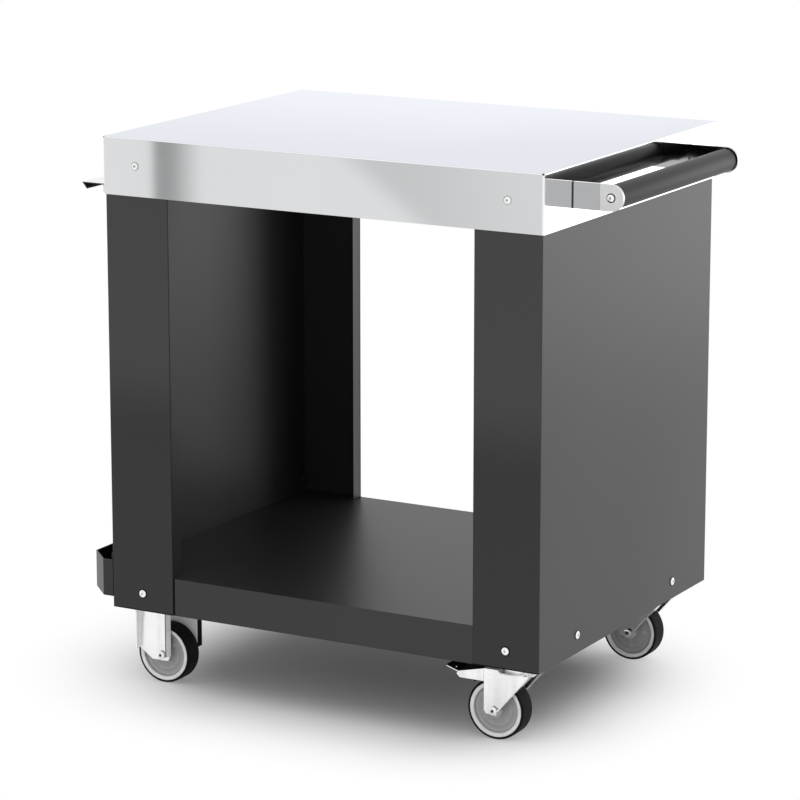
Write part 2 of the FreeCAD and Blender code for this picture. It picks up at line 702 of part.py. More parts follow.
def tool_pocket():
    """A trough along the left panel, open upwards, its outer corners cut at 45 degrees."""
    body = new_body("ToolPocket")
    back = f"-{PANEL_X}"
    mid = f"-{PANEL_X} - {POCKET_FRONT}"
    out = f"-{PANEL_X} - pocket_reach"
    end = POCKET_Y
    corner_end = f"({POCKET_Y} - pocket_corner)"
    slab(body, "Z", POCKET_FLOOR, POCKET_RIM,
         [(back, f"-{end}"), (back, end), (mid, end), (out, corner_end), (out, f"-{corner_end}"),
          (mid, f"-{end}")])
    # the inner corner of a 45 degree fold lies tan(22.5) walls along from the outer one
    shift = "pocket_sheet * (sqrt(2) - 1)"
    inner_end = f"({end} - pocket_sheet)"
    inner_corner = f"({corner_end} - {shift})"
    cut(body, "Z", f"{POCKET_FLOOR} + pocket_sheet", f"{POCKET_RIM} + overcut",
        [(f"{back} - pocket_sheet", f"-{inner_end}"), (f"{back} - pocket_sheet", inner_end),
         (f"{mid} + {shift}", inner_end), (f"{out} + pocket_sheet", inner_corner),
         (f"{out} + pocket_sheet", f"-{inner_corner}"), (f"{mid} + {shift}", f"-{inner_end}")])
    slab(body, "Z", POCKET_RIM, f"{POCKET_RIM} + pocket_back_rise",
         rectangle(f"{back} - pocket_sheet", back, f"-{end}", end))
    cut(body, "X", f"{back} - pocket_sheet - overcut", f"{back} + overcut",
        *[(y, z, "screw_hole_radius") for y, z in pocket_screw_places()],
        *[(f"{step} * side_screw_spacing / 2", SHELF_SCREW_Z, "screw_hole_radius")
          for step in (-1, 1)])
    return keep(body, "tool_pocket")


def plate_holes(radius="plate_hole_radius"):
    return [(f"{step_x} * plate_hole_length / 2", f"{step_y} * plate_hole_width / 2", radius)
            for step_x in (-1, 1) for step_y in (-1, 1)]


def plate_slab(body, low, high):
    """A mounting plate with round corners and its four bolt holes."""
    slab(body, "Z", low, high, rectangle("-plate_length / 2", "plate_length / 2",
                                         "-plate_width / 2", "plate_width / 2"))
    round_edges(body, "plate_corner", lambda edge: along(edge, FreeCAD.Vector(0, 0, 1)))
    cut(body, "Z", f"{low} - overcut", f"{high} + overcut", *plate_holes())


def caster_places():
    """Name, centre and hand of each caster's mounting plate."""
    return [(f"{end}_{hand}", f"{side} * {CASTER_X}", f"{sign}{CASTER_Y}", side)
            for hand, side in (("left", -1), ("right", 1))
            for end, sign in (("front", "-"), ("rear", ""))]


def caster_fasteners():
    """Backing plates inside the panels' bottom folds, and the bolts and nuts through them."""
    backing = []
    bolts = []
    nuts = []
    seat = "caster_height + panel_sheet"
    nut_seat = f"{seat} + backing_sheet"
    for _, x, y, _ in caster_places():
        body = new_body("BackingPlate")
        plate_slab(body, seat, nut_seat)
        bind(body, "Placement.Base.x", x)
        bind(body, "Placement.Base.y", y)
        backing.append(body)
        for hole_x, hole_y, _ in plate_holes():
            spot = (f"{x} + {hole_x}", f"{y} + {hole_y}")
            head = hex_block((*spot, f"{PLATE_UNDER} - hex_height"), "+Z", "hex_height")
            shank = primitive("Cylinder", {"Radius": "bolt_radius",
                                           "Height": "plate_sheet + panel_sheet + backing_sheet"
                                                     " + nut_height + bolt_spare"},
                              *spot, PLATE_UNDER)
            bolts.append(fused(head, shank))
            bore = primitive("Cylinder", {"Radius": "bolt_radius + thread_gap",
                                          "Height": "nut_height"}, *spot, nut_seat)
            nuts.append(less(hex_block((*spot, nut_seat), "+Z", "nut_height"), bore))
    group("caster_backing_plates", backing)
    group("caster_bolts", bolts)
    group("caster_nuts", nuts)


def wheel(name, x, y):
    """Tyre, rim, sleeve, axle bolt and nut about an axle along Y at wheel height."""
    spot = (x, y, "wheel_radius")
    tyre = new_body("Tyre")
    half = "tyre_width / 2"
    bed = "(wheel_radius - tyre_depth)"
    revolved(tyre, [(f"-{half}", bed), (half, bed), (half, "wheel_radius - tyre_shoulder"),
                    (f"{half} - tyre_shoulder", "wheel_radius"),
                    (f"tyre_shoulder - {half}", "wheel_radius"),
                    (f"-{half}", "wheel_radius - tyre_shoulder")])
    keep(tyre, f"tyre_{name}", *spot)
    rim = new_body("Rim")
    hub = "(cheek_gap / 2 - hub_play)"
    ring = "rim_width / 2"
    disc = f"({ring} - disc_recess)"
    ring_in = f"({bed} - rim_depth)"
    bore = "sleeve_radius + running_gap"
    revolved(rim, [(f"-{hub}", bore), (hub, bore), (hub, "hub_radius"), (disc, "hub_radius"),
                   (disc, ring_in), (ring, ring_in), (ring, bed), (f"-{ring}", bed),
                   (f"-{ring}", ring_in), (f"-{disc}", ring_in), (f"-{disc}", "hub_radius"),
                   (f"-{hub}", "hub_radius")])
    keep(rim, f"wheel_rim_{name}", *spot)
    turn = TURNS["+Y"][0]
    outer = primitive("Cylinder", {"Radius": "sleeve_radius", "Height": "cheek_gap"},
                      "0", f"-{CHEEK_IN}", "0", turn)
    inner = primitive("Cylinder", {"Radius": "bolt_radius + thread_gap", "Height": "cheek_gap"},
                      "0", f"-{CHEEK_IN}", "0", turn)
    keep(less(outer, inner), f"axle_sleeve_{name}", *spot)
    head = hex_block(("0", f"-{CHEEK_OUT} - hex_height", "0"), "+Y", "hex_height")
    shank = primitive("Cylinder", {"Radius": "bolt_radius",
                                   "Height": "cheek_gap + 2 * fork_sheet + nut_height + bolt_spare"},
                      "0", f"-{CHEEK_OUT}", "0", turn)
    keep(fused(head, shank), f"axle_bolt_{name}", *spot)
    bore = primitive("Cylinder", {"Radius": "bolt_radius + thread_gap", "Height": "nut_height"},
                     "0", CHEEK_OUT, "0", turn)
    keep(less(hex_block(("0", CHEEK_OUT, "0"), "+Y", "nut_height"), bore),
         f"axle_nut_{name}", *spot)


def axle_hole(body, x):
    cut(body, "Y", "-plate_width / 2", "plate_width / 2",
        (x, "wheel_radius", "bolt_radius + 2 * thread_gap"))


def fixed_fork(name, x, y):
    """Plate and two cheeks from one sheet: each cheek is the other one turned half round."""
    body = new_body("FixedFork")
    plate_slab(body, PLATE_UNDER, "caster_height")
    fold_top = f"{PLATE_UNDER} - bolt_room"
    toe = "(wheel_radius - fixed_toe_drop)"
    heel = "(wheel_radius + fixed_heel_rise)"
    for side in (-1, 1):
        inner, outer, folded = (f"{side} * {CHEEK_IN}", f"{side} * {CHEEK_OUT}",
                                f"{side} * ({CHEEK_OUT} + cheek_flange)")
        cheek = (outer, inner) if side < 0 else (inner, outer)
        fold = (folded, inner) if side < 0 else (inner, folded)
        near, far, toe_x = (f"{-side} * fixed_short", f"{side} * fixed_long",
                            f"{side} * fixed_toe")
        near_low = f"{toe} + fixed_corner_rise"
        slab(body, "Y", *cheek, [(near, PLATE_UNDER), (near, near_low),
                                 (f"{-side} * (fixed_short - fixed_corner)", toe), (toe_x, toe),
                                 (far, heel), (far, PLATE_UNDER)])
        near_in = f"{-side} * (fixed_short - fork_sheet)"
        far_in = f"{side} * (fixed_long - fork_sheet)"
        slab(body, "Y", *fold, [(near, fold_top), (near, near_low), (near_in, near_low),
                                (near_in, fold_top)])
        slab(body, "Y", *fold, [(far, fold_top), (far, heel), (far_in, heel), (far_in, fold_top)])
    axle_hole(body, "0")
    return keep(body, f"fork_{name}", x, y)


def swivel_plate(name, x, y):
    """Mounting plate with the pressed race cup and the countersink of the kingpin."""
    body = new_body("SwivelPlate")
    plate_slab(body, PLATE_UNDER, "caster_height")
    cup = f"{PLATE_UNDER} - race_height / 2"
    slab(body, "Z", cup, PLATE_UNDER, ("0", "0", "race_radius"),
         ("0", "0", "race_radius - fork_sheet"))
    seat = primitive("Cone", {"Radius1": "kingpin_radius + thread_gap",
                              "Radius2": "kingpin_head + thread_gap", "Height": "plate_sheet"},
                     "0", "0", PLATE_UNDER)
    base = less(body, seat)
    return keep(base, f"swivel_plate_{name}", x, y)


def kingpin(name, x, y):
    """Countersunk in the plate, with a collar under the fork's crown."""
    collar_top = f"({CROWN_TOP} - fork_sheet - race_play)"
    collar_low = f"({collar_top} - kingpin_collar_height)"
    head = primitive("Cone", {"Radius1": "kingpin_radius", "Radius2": "kingpin_head",
                              "Height": "plate_sheet"}, "0", "0", PLATE_UNDER)
    shank = primitive("Cylinder", {"Radius": "kingpin_radius",
                                   "Height": f"{PLATE_UNDER} - {collar_low}"}, "0", "0", collar_low)
    collar = primitive("Cylinder", {"Radius": "kingpin_collar",
                                    "Height": "kingpin_collar_height"}, "0", "0", collar_low)
    return keep(fused(head, shank, collar), f"kingpin_{name}", x, y)


RAKE_FOOT = "(wheel_radius - fork_nose_drop)"
RAKE_RUN = "(fork_crown_reach + trail - fork_nose)"
RAKE_RISE = f"({CROWN_TOP} - {RAKE_FOOT})"


def raked(height):
    """Place along X of the cheeks' raked edge at a height."""
    return f"fork_nose - trail + ({height} - {RAKE_FOOT}) * {RAKE_RUN} / {RAKE_RISE}"


def swivel_fork(name, x, y):
    """Crown with its raised race, and two cheeks raked back to the axle, folded along the rake."""
    body = new_body("SwivelFork")
    crown_low = f"({CROWN_TOP} - fork_sheet)"
    back = "-trail - fork_back"
    slab(body, "Z", crown_low, CROWN_TOP,
         rectangle(back, "fork_crown_reach", f"-{CHEEK_OUT}", CHEEK_OUT))
    slab(body, "Z", crown_low, CROWN_TOP, ("0", "0", "crown_radius"))
    race_in = "race_radius - fork_sheet - race_play"
    slab(body, "Z", CROWN_TOP, f"{PLATE_UNDER} - race_play", ("0", "0", race_in))
    nose = ("fork_nose - trail", RAKE_FOOT)
    heel = (back, "wheel_radius - fork_heel_drop")
    toe = ("-trail - fork_toe", "wheel_radius - fork_toe_drop")
    # the fold along the rake starts above the axle and is one sheet thick across the rake
    fold_low = "wheel_radius + fork_fold_rise"
    fold_across = f"fork_sheet * sqrt({RAKE_RUN} ^ 2 + {RAKE_RISE} ^ 2) / {RAKE_RISE}"
    for side in (-1, 1):
        cheek = (f"-{CHEEK_OUT}", f"-{CHEEK_IN}") if side < 0 else (CHEEK_IN, CHEEK_OUT)
        fold = (f"-{CHEEK_OUT} - cheek_flange", f"-{CHEEK_IN}") if side < 0 else \
               (CHEEK_IN, f"{CHEEK_OUT} + cheek_flange")
        slab(body, "Y", *cheek, [(back, CROWN_TOP), heel, toe, nose,
                                 ("fork_crown_reach", CROWN_TOP)])
        slab(body, "Y", *fold, [(raked(fold_low), fold_low), ("fork_crown_reach", CROWN_TOP),
                                (f"fork_crown_reach - {fold_across}", CROWN_TOP),
                                (f"{raked(fold_low)} - {fold_across}", fold_low)])
    axle_hole(body, "-trail")
    cut(body, "Z", crown_low, "caster_height", ("0", "0", "kingpin_radius + running_gap"))
    cut(body, "Y", "-plate_width / 2", "plate_width / 2",
        ("-trail - pivot_back", PIVOT_Z, "pivot_radius"))
    return keep(body, f"fork_{name}", x, y)


def web_top(back):
    """Height of the top of the pedal's sloping web at a distance behind the axle."""
    slope = f"({KNEE_Z} - {HEEL_Z}) / (pedal_heel - pedal_knee)"
    return f"{KNEE_Z} - ({back} - pedal_knee) * {slope}"


def web_height(back):
    """Height of the underside of the same web."""
    return f"{web_top(back)} - pedal_sheet"


def tread_height(back):
    """Height of the steel tread's top at a distance behind the axle."""
    slope = f"({CROWN_TOP} - pedal_tip_drop - {HEEL_Z}) / (pedal_tip - pedal_heel)"
    return f"{HEEL_Z} + ({back} - pedal_heel) * {slope}"


def brake(name, x, y):
    """Pedal that straddles the tyre, its pad, the pin that it rocks on and the shoe under it."""
    body = new_body("BrakePedal")
    outer = "(cheek_gap / 2 - pedal_play)"
    inner = "(cheek_gap / 2 - pedal_play - pedal_sheet)"
    pivot = "-trail - pivot_back"
    ear_low = f"{PIVOT_Z} - pedal_ear_low"
    ear_high = f"{PIVOT_Z} + pedal_ear_high"
    bottom = f"{CROWN_TOP} - pedal_bottom_drop"
    knee = "-trail - pedal_knee"
    heel = "-trail - pedal_heel"
    tip = "-trail - pedal_tip"
    cheek = [(f"{pivot} + pedal_ear", ear_low), (f"{pivot} + pedal_ear", ear_high),
             (f"{pivot} - pedal_ear", ear_high), (knee, KNEE_Z), (heel, HEEL_Z),
             (f"{heel} - pedal_heel_cut", f"{HEEL_Z} - pedal_heel_drop"),
             (f"{heel} + pedal_heel_cut", bottom), (knee, bottom)]
    slab(body, "Y", f"-{outer}", f"-{inner}", cheek)
    slab(body, "Y", inner, outer, cheek)
    slab(body, "Y", f"-{outer}", outer,
         [(knee, KNEE_Z), (heel, HEEL_Z), (heel, web_height("pedal_heel")),
          (knee, web_height("pedal_knee"))])
    slab(body, "Y", f"-{outer}", outer,
         [(heel, HEEL_Z), (tip, tread_height("pedal_tip")),
          (tip, f"{tread_height('pedal_tip')} - tread_sheet"), (heel, f"{HEEL_Z} - tread_sheet")])
    cut(body, "Y", f"-{outer} - overcut", f"{outer} + overcut",
        (pivot, PIVOT_Z, "pivot_radius + running_gap"))
    keep(body, f"brake_pedal_{name}", x, y)
    pad = new_body("BrakePad")
    start = "(pedal_knee + pad_start)"
    slab(pad, "Y", f"-{outer}", outer,
         [(f"-trail - {start}", web_top(start)), (heel, HEEL_Z), (tip, tread_height("pedal_tip")),
          (tip, f"{tread_height('pedal_tip')} + pad_height"), (heel, f"{HEEL_Z} + pad_height"),
          (f"-trail - {start}", f"{web_top(start)} + pad_height")])
    keep(pad, f"brake_pad_{name}", x, y)
    pin = primitive("Cylinder", {"Radius": "pivot_radius", "Height": f"2 * {CHEEK_OUT}"},
                    pivot, f"-{CHEEK_OUT}", PIVOT_Z, TURNS["+Y"][0])
    keep(pin_in_place(pin), f"brake_pin_{name}", x, y)
    # the shoe's hollow fits the tyre once the brake has turned through its throw
    arm = f"({PIVOT_Z} - wheel_radius)"
    hollow_x = f"{pivot} + pivot_back * cos(brake_throw) - {arm} * sin(brake_throw)"
    hollow_z = f"{PIVOT_Z} - {arm} * cos(brake_throw) - pivot_back * sin(brake_throw)"
    shoe = new_body("BrakeShoe")
    slab(shoe, "Y", "-shoe_width / 2", "shoe_width / 2",
         [("-trail - shoe_near", web_height("shoe_near")), ("-trail - shoe_far", web_height("shoe_far")),
          ("-trail - shoe_far", "wheel_radius"), ("-trail - shoe_near", "wheel_radius")])
    cut(shoe, "Y", "-shoe_width", "shoe_width", (hollow_x, hollow_z, "wheel_radius + shoe_gap"))
    keep(shoe, f"brake_shoe_{name}", x, y)


def pin_in_place(pin):
    """A compound of one, so that the pin keeps its own place inside its caster's."""
    item = doc.addObject("Part::Compound", "Pin")
    item.Links = [pin]
    return item


def casters():
    for name, x, y, side in caster_places():
        if side < 0:
            fixed_fork(name, x, y)
            wheel(name, x, y)
        else:
            swivel_plate(name, x, y)
            kingpin(name, x, y)
            swivel_fork(name, x, y)
            brake(name, x, y)
            wheel(name, f"{x} - trail", y)


def check_and_write():
    """Every object has to be sound before any file is written."""
    doc.recompute()
    broken = [item.Name for item in doc.Objects if {"Invalid", "Error"} & set(item.State)]
    if broken:
        raise RuntimeError(f"objects that failed: {broken}")
    for item in sub_parts:
        if item.Shape.isNull() or not item.Shape.isValid() or not item.Shape.Solids:
            raise RuntimeError(f"{item.Label} has no sound solid")
    labels = [item.Label for item in sub_parts]
    if len(set(labels)) != len(labels):
        raise RuntimeError("two sub-parts share a name")
    os.makedirs("parts", exist_ok=True)
    for item in sub_parts:
        item.Shape.exportStep(f"parts/{item.Label}.step")
    print(f"{len(sub_parts)} sub-parts written")


worktop()
stiffeners()
side_panel(-1, "side_panel_left")
side_panel(1, "side_panel_right")
lower_shelf()
sheet_metal_screws()
handle()
tool_rail()
tool_pocket()
caster_fasteners()
casters()
check_and_write()
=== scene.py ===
"""Looks of the outdoor oven table: its finishes and small hardware, the floor, light and camera."""

import json
import math

import bmesh
import bpy
import numpy as np
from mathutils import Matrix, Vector


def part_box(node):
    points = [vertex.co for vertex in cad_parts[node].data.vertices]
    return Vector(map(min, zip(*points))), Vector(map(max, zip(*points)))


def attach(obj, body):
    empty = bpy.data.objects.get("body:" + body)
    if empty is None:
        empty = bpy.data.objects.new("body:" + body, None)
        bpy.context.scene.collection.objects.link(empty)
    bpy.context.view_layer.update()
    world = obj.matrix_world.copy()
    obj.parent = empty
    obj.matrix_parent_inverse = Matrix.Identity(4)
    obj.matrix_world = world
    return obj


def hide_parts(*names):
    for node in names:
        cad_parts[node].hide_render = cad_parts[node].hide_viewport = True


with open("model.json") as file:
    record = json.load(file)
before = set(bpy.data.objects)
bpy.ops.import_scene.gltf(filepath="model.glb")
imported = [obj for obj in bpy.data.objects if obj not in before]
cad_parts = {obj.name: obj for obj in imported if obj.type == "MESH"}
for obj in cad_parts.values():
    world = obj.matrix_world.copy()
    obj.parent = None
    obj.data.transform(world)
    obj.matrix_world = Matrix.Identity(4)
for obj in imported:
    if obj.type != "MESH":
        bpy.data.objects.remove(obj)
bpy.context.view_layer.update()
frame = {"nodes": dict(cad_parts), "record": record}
MM = 0.001
CORNERS = ("front_left", "rear_left", "front_right", "rear_right")
BRAKED_CORNERS = CORNERS[2:]

RECORD = frame["record"]
BODY_OF = {node: body for body, nodes in RECORD["behaviour"]["bodies"].items() for node in nodes}
SLOT_OF = {part["node"]: part["material_slot"] for part in RECORD["subparts"]}

# ---------------------------------------------------------------- places that the frame gives


def middle(node):
    low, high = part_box(node)
    return (np.array(low) + np.array(high)) / 2


TABLE_X = float(middle("worktop")[0])
ARM_BASE = float(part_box("worktop")[1].x)
ARM_OUT = float(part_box("handle_arm_rear")[1].y) / MM
WORKTOP_CORNER = (ARM_BASE - TABLE_X, float(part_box("worktop")[1].y),
                  float(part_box("worktop")[1].z))
GRIP_HALF = float(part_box("handle_grip")[1].y)
RAIL_LOW = float(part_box("tool_rail")[0].z)
RAIL_INSIDE = float(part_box("worktop")[0].x) - 0.4 * MM

FLANGE_WIDTH = 118 * MM
FLANGE_EDGE = float(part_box("side_panel_right")[1].x) - TABLE_X - FLANGE_WIDTH
FLANGE_LOW = float(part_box("side_panel_right")[0].z)

HUB_Y = float(middle("tyre_rear_left")[1])
# Places of painted shadow lines on the zinc: where the pedals slide in between the cheeks, and
# along the fixed forks' folds.
PEDAL_SLOT = float(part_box("fork_front_right")[0].x) - 0.8 * MM
FOLD_LINE = float(middle("tyre_front_left")[0]) + 15.9 * MM

# Screws, in millimetres from the table's middle, from its middle and from the floor.
SKIRT_SEAT, SKIRT_SCREW_Z = 317, 882.5
FLANGE_SEAT, FLANGE_SCREW_X = 314.4, 338.4
LEFT_SEAT, RIGHT_SEAT, SIDE_SCREW_Y = -398.9, 397.4, 180
# SIDE_RING_X places the painted contact shadows round the side screws.
SIDE_RING_X = 398  # one value for both side seats
SHELF_SCREW_Z = 166
RAIL_SEAT, RAIL_SCREWS_Y, RAIL_SCREW_Z = -401.5, (-250, 0, 250), 840.7
POCKET_SCREW_Y, POCKET_SCREW_Z = 306.2, 217.5
GRIP_BOLT_X, GRIP_BOLT_Z = 465.5, 881.5

# ---------------------------------------------------------------- shader arithmetic


class Signal:
    """A shader socket that takes part in Python arithmetic: each operator adds its Math node."""

    def __init__(self, finish, socket):
        self.finish = finish
        self.socket = socket

    def math(self, operation, *others):
        """The Math node of that name, with this signal as its first value."""
        return self.finish.node("ShaderNodeMath", {"operation": operation}, self, *others)

    def __add__(self, other):
        return self.math("ADD", other)

    __radd__ = __add__

    def __mul__(self, other):
        return self.math("MULTIPLY", other)

    __rmul__ = __mul__

    def __neg__(self):
        return self.math("MULTIPLY", -1.0)

    def __sub__(self, other):
        return self.math("SUBTRACT", other)

    def __rsub__(self, other):
        return self.finish.node("ShaderNodeMath", {"operation": "SUBTRACT"}, other, self)

    def __pow__(self, other):
        return self.math("POWER", other)

    def __abs__(self):
        return self.math("ABSOLUTE")

    def __gt__(self, other):
        return self.math("GREATER_THAN", other)

    def __lt__(self, other):
        return self.math("LESS_THAN", other)

    def at_least(self, other):
        """The larger one of the two."""
        return self.math("MAXIMUM", other)

    def at_most(self, other):
        """The smaller one of the two."""
        return self.math("MINIMUM", other)

    def rise(self, low, high):
        """0 below low, 1 above high, and a smooth step between them."""
        settings = {"interpolation_type": "SMOOTHSTEP"}
        return self.finish.node("ShaderNodeMapRange", settings, self, low, high, 0.0, 1.0)


class Finish:
    """A material, written as the few values that change over its surface."""

    def __init__(self, name):
        self.material = bpy.data.materials.new(name)
        self.material.use_nodes = True
        self.tree = self.material.node_tree
        self.tree.nodes.clear()
        self.place = self.node("ShaderNodeTexCoord", output="Object")

    def node(self, kind, settings=None, *values, output=0, **named):
        """Adds a node: its settings first, then its sockets by number or by name."""
        made = self.tree.nodes.new(kind)
        for key, value in (settings or {}).items():
            setattr(made, key, value)
        filled = list(enumerate(values)) + [(k.replace("_", " "), v) for k, v in named.items()]
        for key, value in filled:
            self.fill(made.inputs[key], value)
        return Signal(self, made.outputs[output])

    def fill(self, socket, value):
        """Links a signal to a socket, or writes a plain value there."""
        if isinstance(value, Signal):
            self.tree.links.new(value.socket, socket)
        elif value is not None:
            socket.default_value = value

    def axis(self, name, of=None):
        """One coordinate of a vector: of the place on the object unless another is given."""
        return self.node("ShaderNodeSeparateXYZ", None, of or self.place, output=name)

    def normal(self, name):
        """How far the surface faces along an axis, from -1 to 1."""
        return self.axis(name, self.node("ShaderNodeNewGeometry", output="Normal"))

    def facing(self, name):
        """How far the surface faces along an axis, either way, from 0 to 1."""
        return abs(self.normal(name))

    def outwards(self, name):
        """How far the surface faces away from the middle along an axis; negative inwards."""
        return self.normal(name) * self.axis(name)

    def stretched(self, x, y, z):
        """The place on the object, scaled along each axis."""
        settings = {"operation": "MULTIPLY"}
        return self.node("ShaderNodeVectorMath", settings, self.place, (x, y, z))

    def kept(self, name):
        """A number that the mesh keeps at each point, and 0 where it keeps none."""
        return self.node("ShaderNodeAttribute", {"attribute_name": name}, output="Fac")

    def near(self, x, y, z, radius):
        """1 within a radius of a point that is mirrored to both sides in X and in Y."""
        def vector(operation, *values, output=0):
            return self.node("ShaderNodeVectorMath", {"operation": operation}, *values,
                             output=output)

        folded = vector("ABSOLUTE", vector("SUBTRACT", self.place, (TABLE_X, 0, 0)))
        return vector("DISTANCE", folded, (x, y, z), output="Value") < radius

    def noise(self, scale, detail=2.0, roughness=0.5, at=None):
        """Noise from 0 to 1 whose grains are about 1/scale metres."""
        return self.node("ShaderNodeTexNoise", {"noise_dimensions": "3D"}, Scale=scale,
                         Detail=detail, Roughness=roughness, Vector=at or self.place)

    def drawn(self, x, y, z, detail=3.0, roughness=0.6):
        """Noise with that many grains for each metre along each axis."""
        return self.noise(1.0, detail, roughness, self.stretched(x, y, z))

    def speckle(self, scale):
        """Distance to the nearest of many scattered points, in cells."""
        return self.node("ShaderNodeTexVoronoi", {"feature": "F1"}, Vector=self.place, Scale=scale)

    def mixed(self, share, first, second):
        """A colour between two, by a share."""
        made = self.node("ShaderNodeMix", {"data_type": "RGBA"}, output=2)
        sockets = made.socket.node.inputs
        for index, value in ((0, share), (6, first), (7, second)):
            if isinstance(value, tuple):
                value = (*value, 1.0)
            self.fill(sockets[index], value)
        return made

    def bumped(self, height, distance, strength):
        return self.node("ShaderNodeBump", Height=height, Distance=distance, Strength=strength)

    def surface(self, color, roughness, metallic, normal, **fixed):
        """The shader; what is given under other names is one number for the whole surface."""
        shader = self.node("ShaderNodeBsdfPrincipled", Base_Color=color, Roughness=roughness,
                           Metallic=metallic, Normal=normal, **fixed)
        return self.shown(shader)

    def shown(self, shader):
        """Links the shader to the output and gives the material."""
        out = self.tree.nodes.new("ShaderNodeOutputMaterial")
        self.tree.links.new(shader.socket, out.inputs["Surface"])
        return self.material


def grey(level):
    return level, level, level


# ---------------------------------------------------------------- finishes

# Where the finishes' marks lie: the corner hole, the dark seam, the round end's painted highlight,
# and painted shade high up inside, in the slit, along low edges, on lips and round screws.
CORNER_HOLE = 3.4 * MM
SEAM_WIDTH = 1.9 * MM
ROUND_END = (46.5 * MM, 47.5 * MM)
HIGH_UP_INSIDE = (0.874, 0.884)
SLIT_WIDTH = 3.0 * MM
LOW_EDGE_WIDTH = 2.0 * MM
LIP_SHEET = 1.0 * MM
SCREW_SHADOW_RING = 8.6 * MM
WALLS = (0.28, 0.36)  # what faces along X and lies farther out than this is a wall

# Zones, in metres, over which painted light and shade come up: along X, along Y and from the floor.
TOP_TO_RIGHT, TOP_TO_REAR = (0.0, 0.42), (-0.33, 0.36)
FLANGE_UP, WALL_UP, INSIDE_UP = (0.44, 0.58), (0.2, 0.6), (0.30, 0.75)
WALL_TO_REAR, DEEP_TO_REAR, DARK_TO_REAR = (0.0, 0.3), (-0.25, 0.05), (0.04, 0.20)
REAR_LIP = (0.298, 0.318)


def stainless_sheet():
    """Mirror polished stainless sheet: fine grain, faint clouds, holes in corners, and on the top a
    painted reflection: a cooler tone, lighter towards the rear left.
    """
    it = Finish("stainless_sheet")
    on_side = it.facing("X").rise(0.6, 0.9)
    fine, long = 1100, 5
    grain = it.drawn(long, fine, fine) * (1 - on_side) + it.drawn(fine, long, fine) * on_side
    cloud = it.noise(3.5, 3.0, 0.55)
    shade = (cloud * 0.6 + grain * 0.4).rise(0.25, 0.75)
    skirt = it.mixed(shade, (0.865, 0.875, 0.885), (0.90, 0.91, 0.92))
    # Painted reflection on the top: cooler than the skirts, and lighter towards the rear and the
    # left.
    painted_reflection_to_rear_left = it.axis("Y").rise(*TOP_TO_REAR) - it.axis("X").rise(*TOP_TO_RIGHT) * 0.5
    top = it.mixed(painted_reflection_to_rear_left + (shade - 0.5) * 0.15, (0.62, 0.66, 0.755), (0.79, 0.815, 0.935))
    sheet = it.mixed(it.facing("Z").rise(0.7, 0.95), skirt, top)
    hole = it.near(*WORKTOP_CORNER, CORNER_HOLE)
    color = it.mixed(hole, sheet, grey(0.03))
    return it.surface(color, 0.022 + grain * 0.02 + cloud * 0.02, 1 - hole, None)


def arm_bar():
    """Flat bar of the handle: polished grey, dark where it leaves the skirt, and a painted dark
    reflection high up inside.

    Outside, its round end is rougher and speckled, with a painted highlight that makes it lighter.
    """
    it = Finish("arm_bar")
    from_skirt = it.axis("X") - ARM_BASE
    inside = it.outwards("Y") < -0.1
    end = from_skirt.rise(*ROUND_END) * (1 - inside)
    # Dark seam where the bar leaves the skirt; painted dark reflection high up on the inner face.
    dark = (from_skirt < SEAM_WIDTH).at_least(inside * it.axis("Z").rise(*HIGH_UP_INSIDE))
    speck = it.noise(1500, 2.0, 0.7)
    grain = it.drawn(9, 900, 900)
    bar = it.mixed(grain, (0.45, 0.45, 0.455), (0.52, 0.52, 0.525))
    # Painted highlight: the round end's outer face lighter than the bar.
    speckled_painted_highlight = it.mixed(speck.rise(0.35, 0.65), grey(0.70), grey(0.90))
    color = it.mixed(dark * 0.9, it.mixed(end, bar, speckled_painted_highlight), grey(0.02))
    bump = it.bumped(grain * (1 - end) * 0.1 + speck * end, 0.06 * MM, 0.5)
    return it.surface(color, 0.06 + end * 0.36 + speck * 0.05, 1.0, bump)


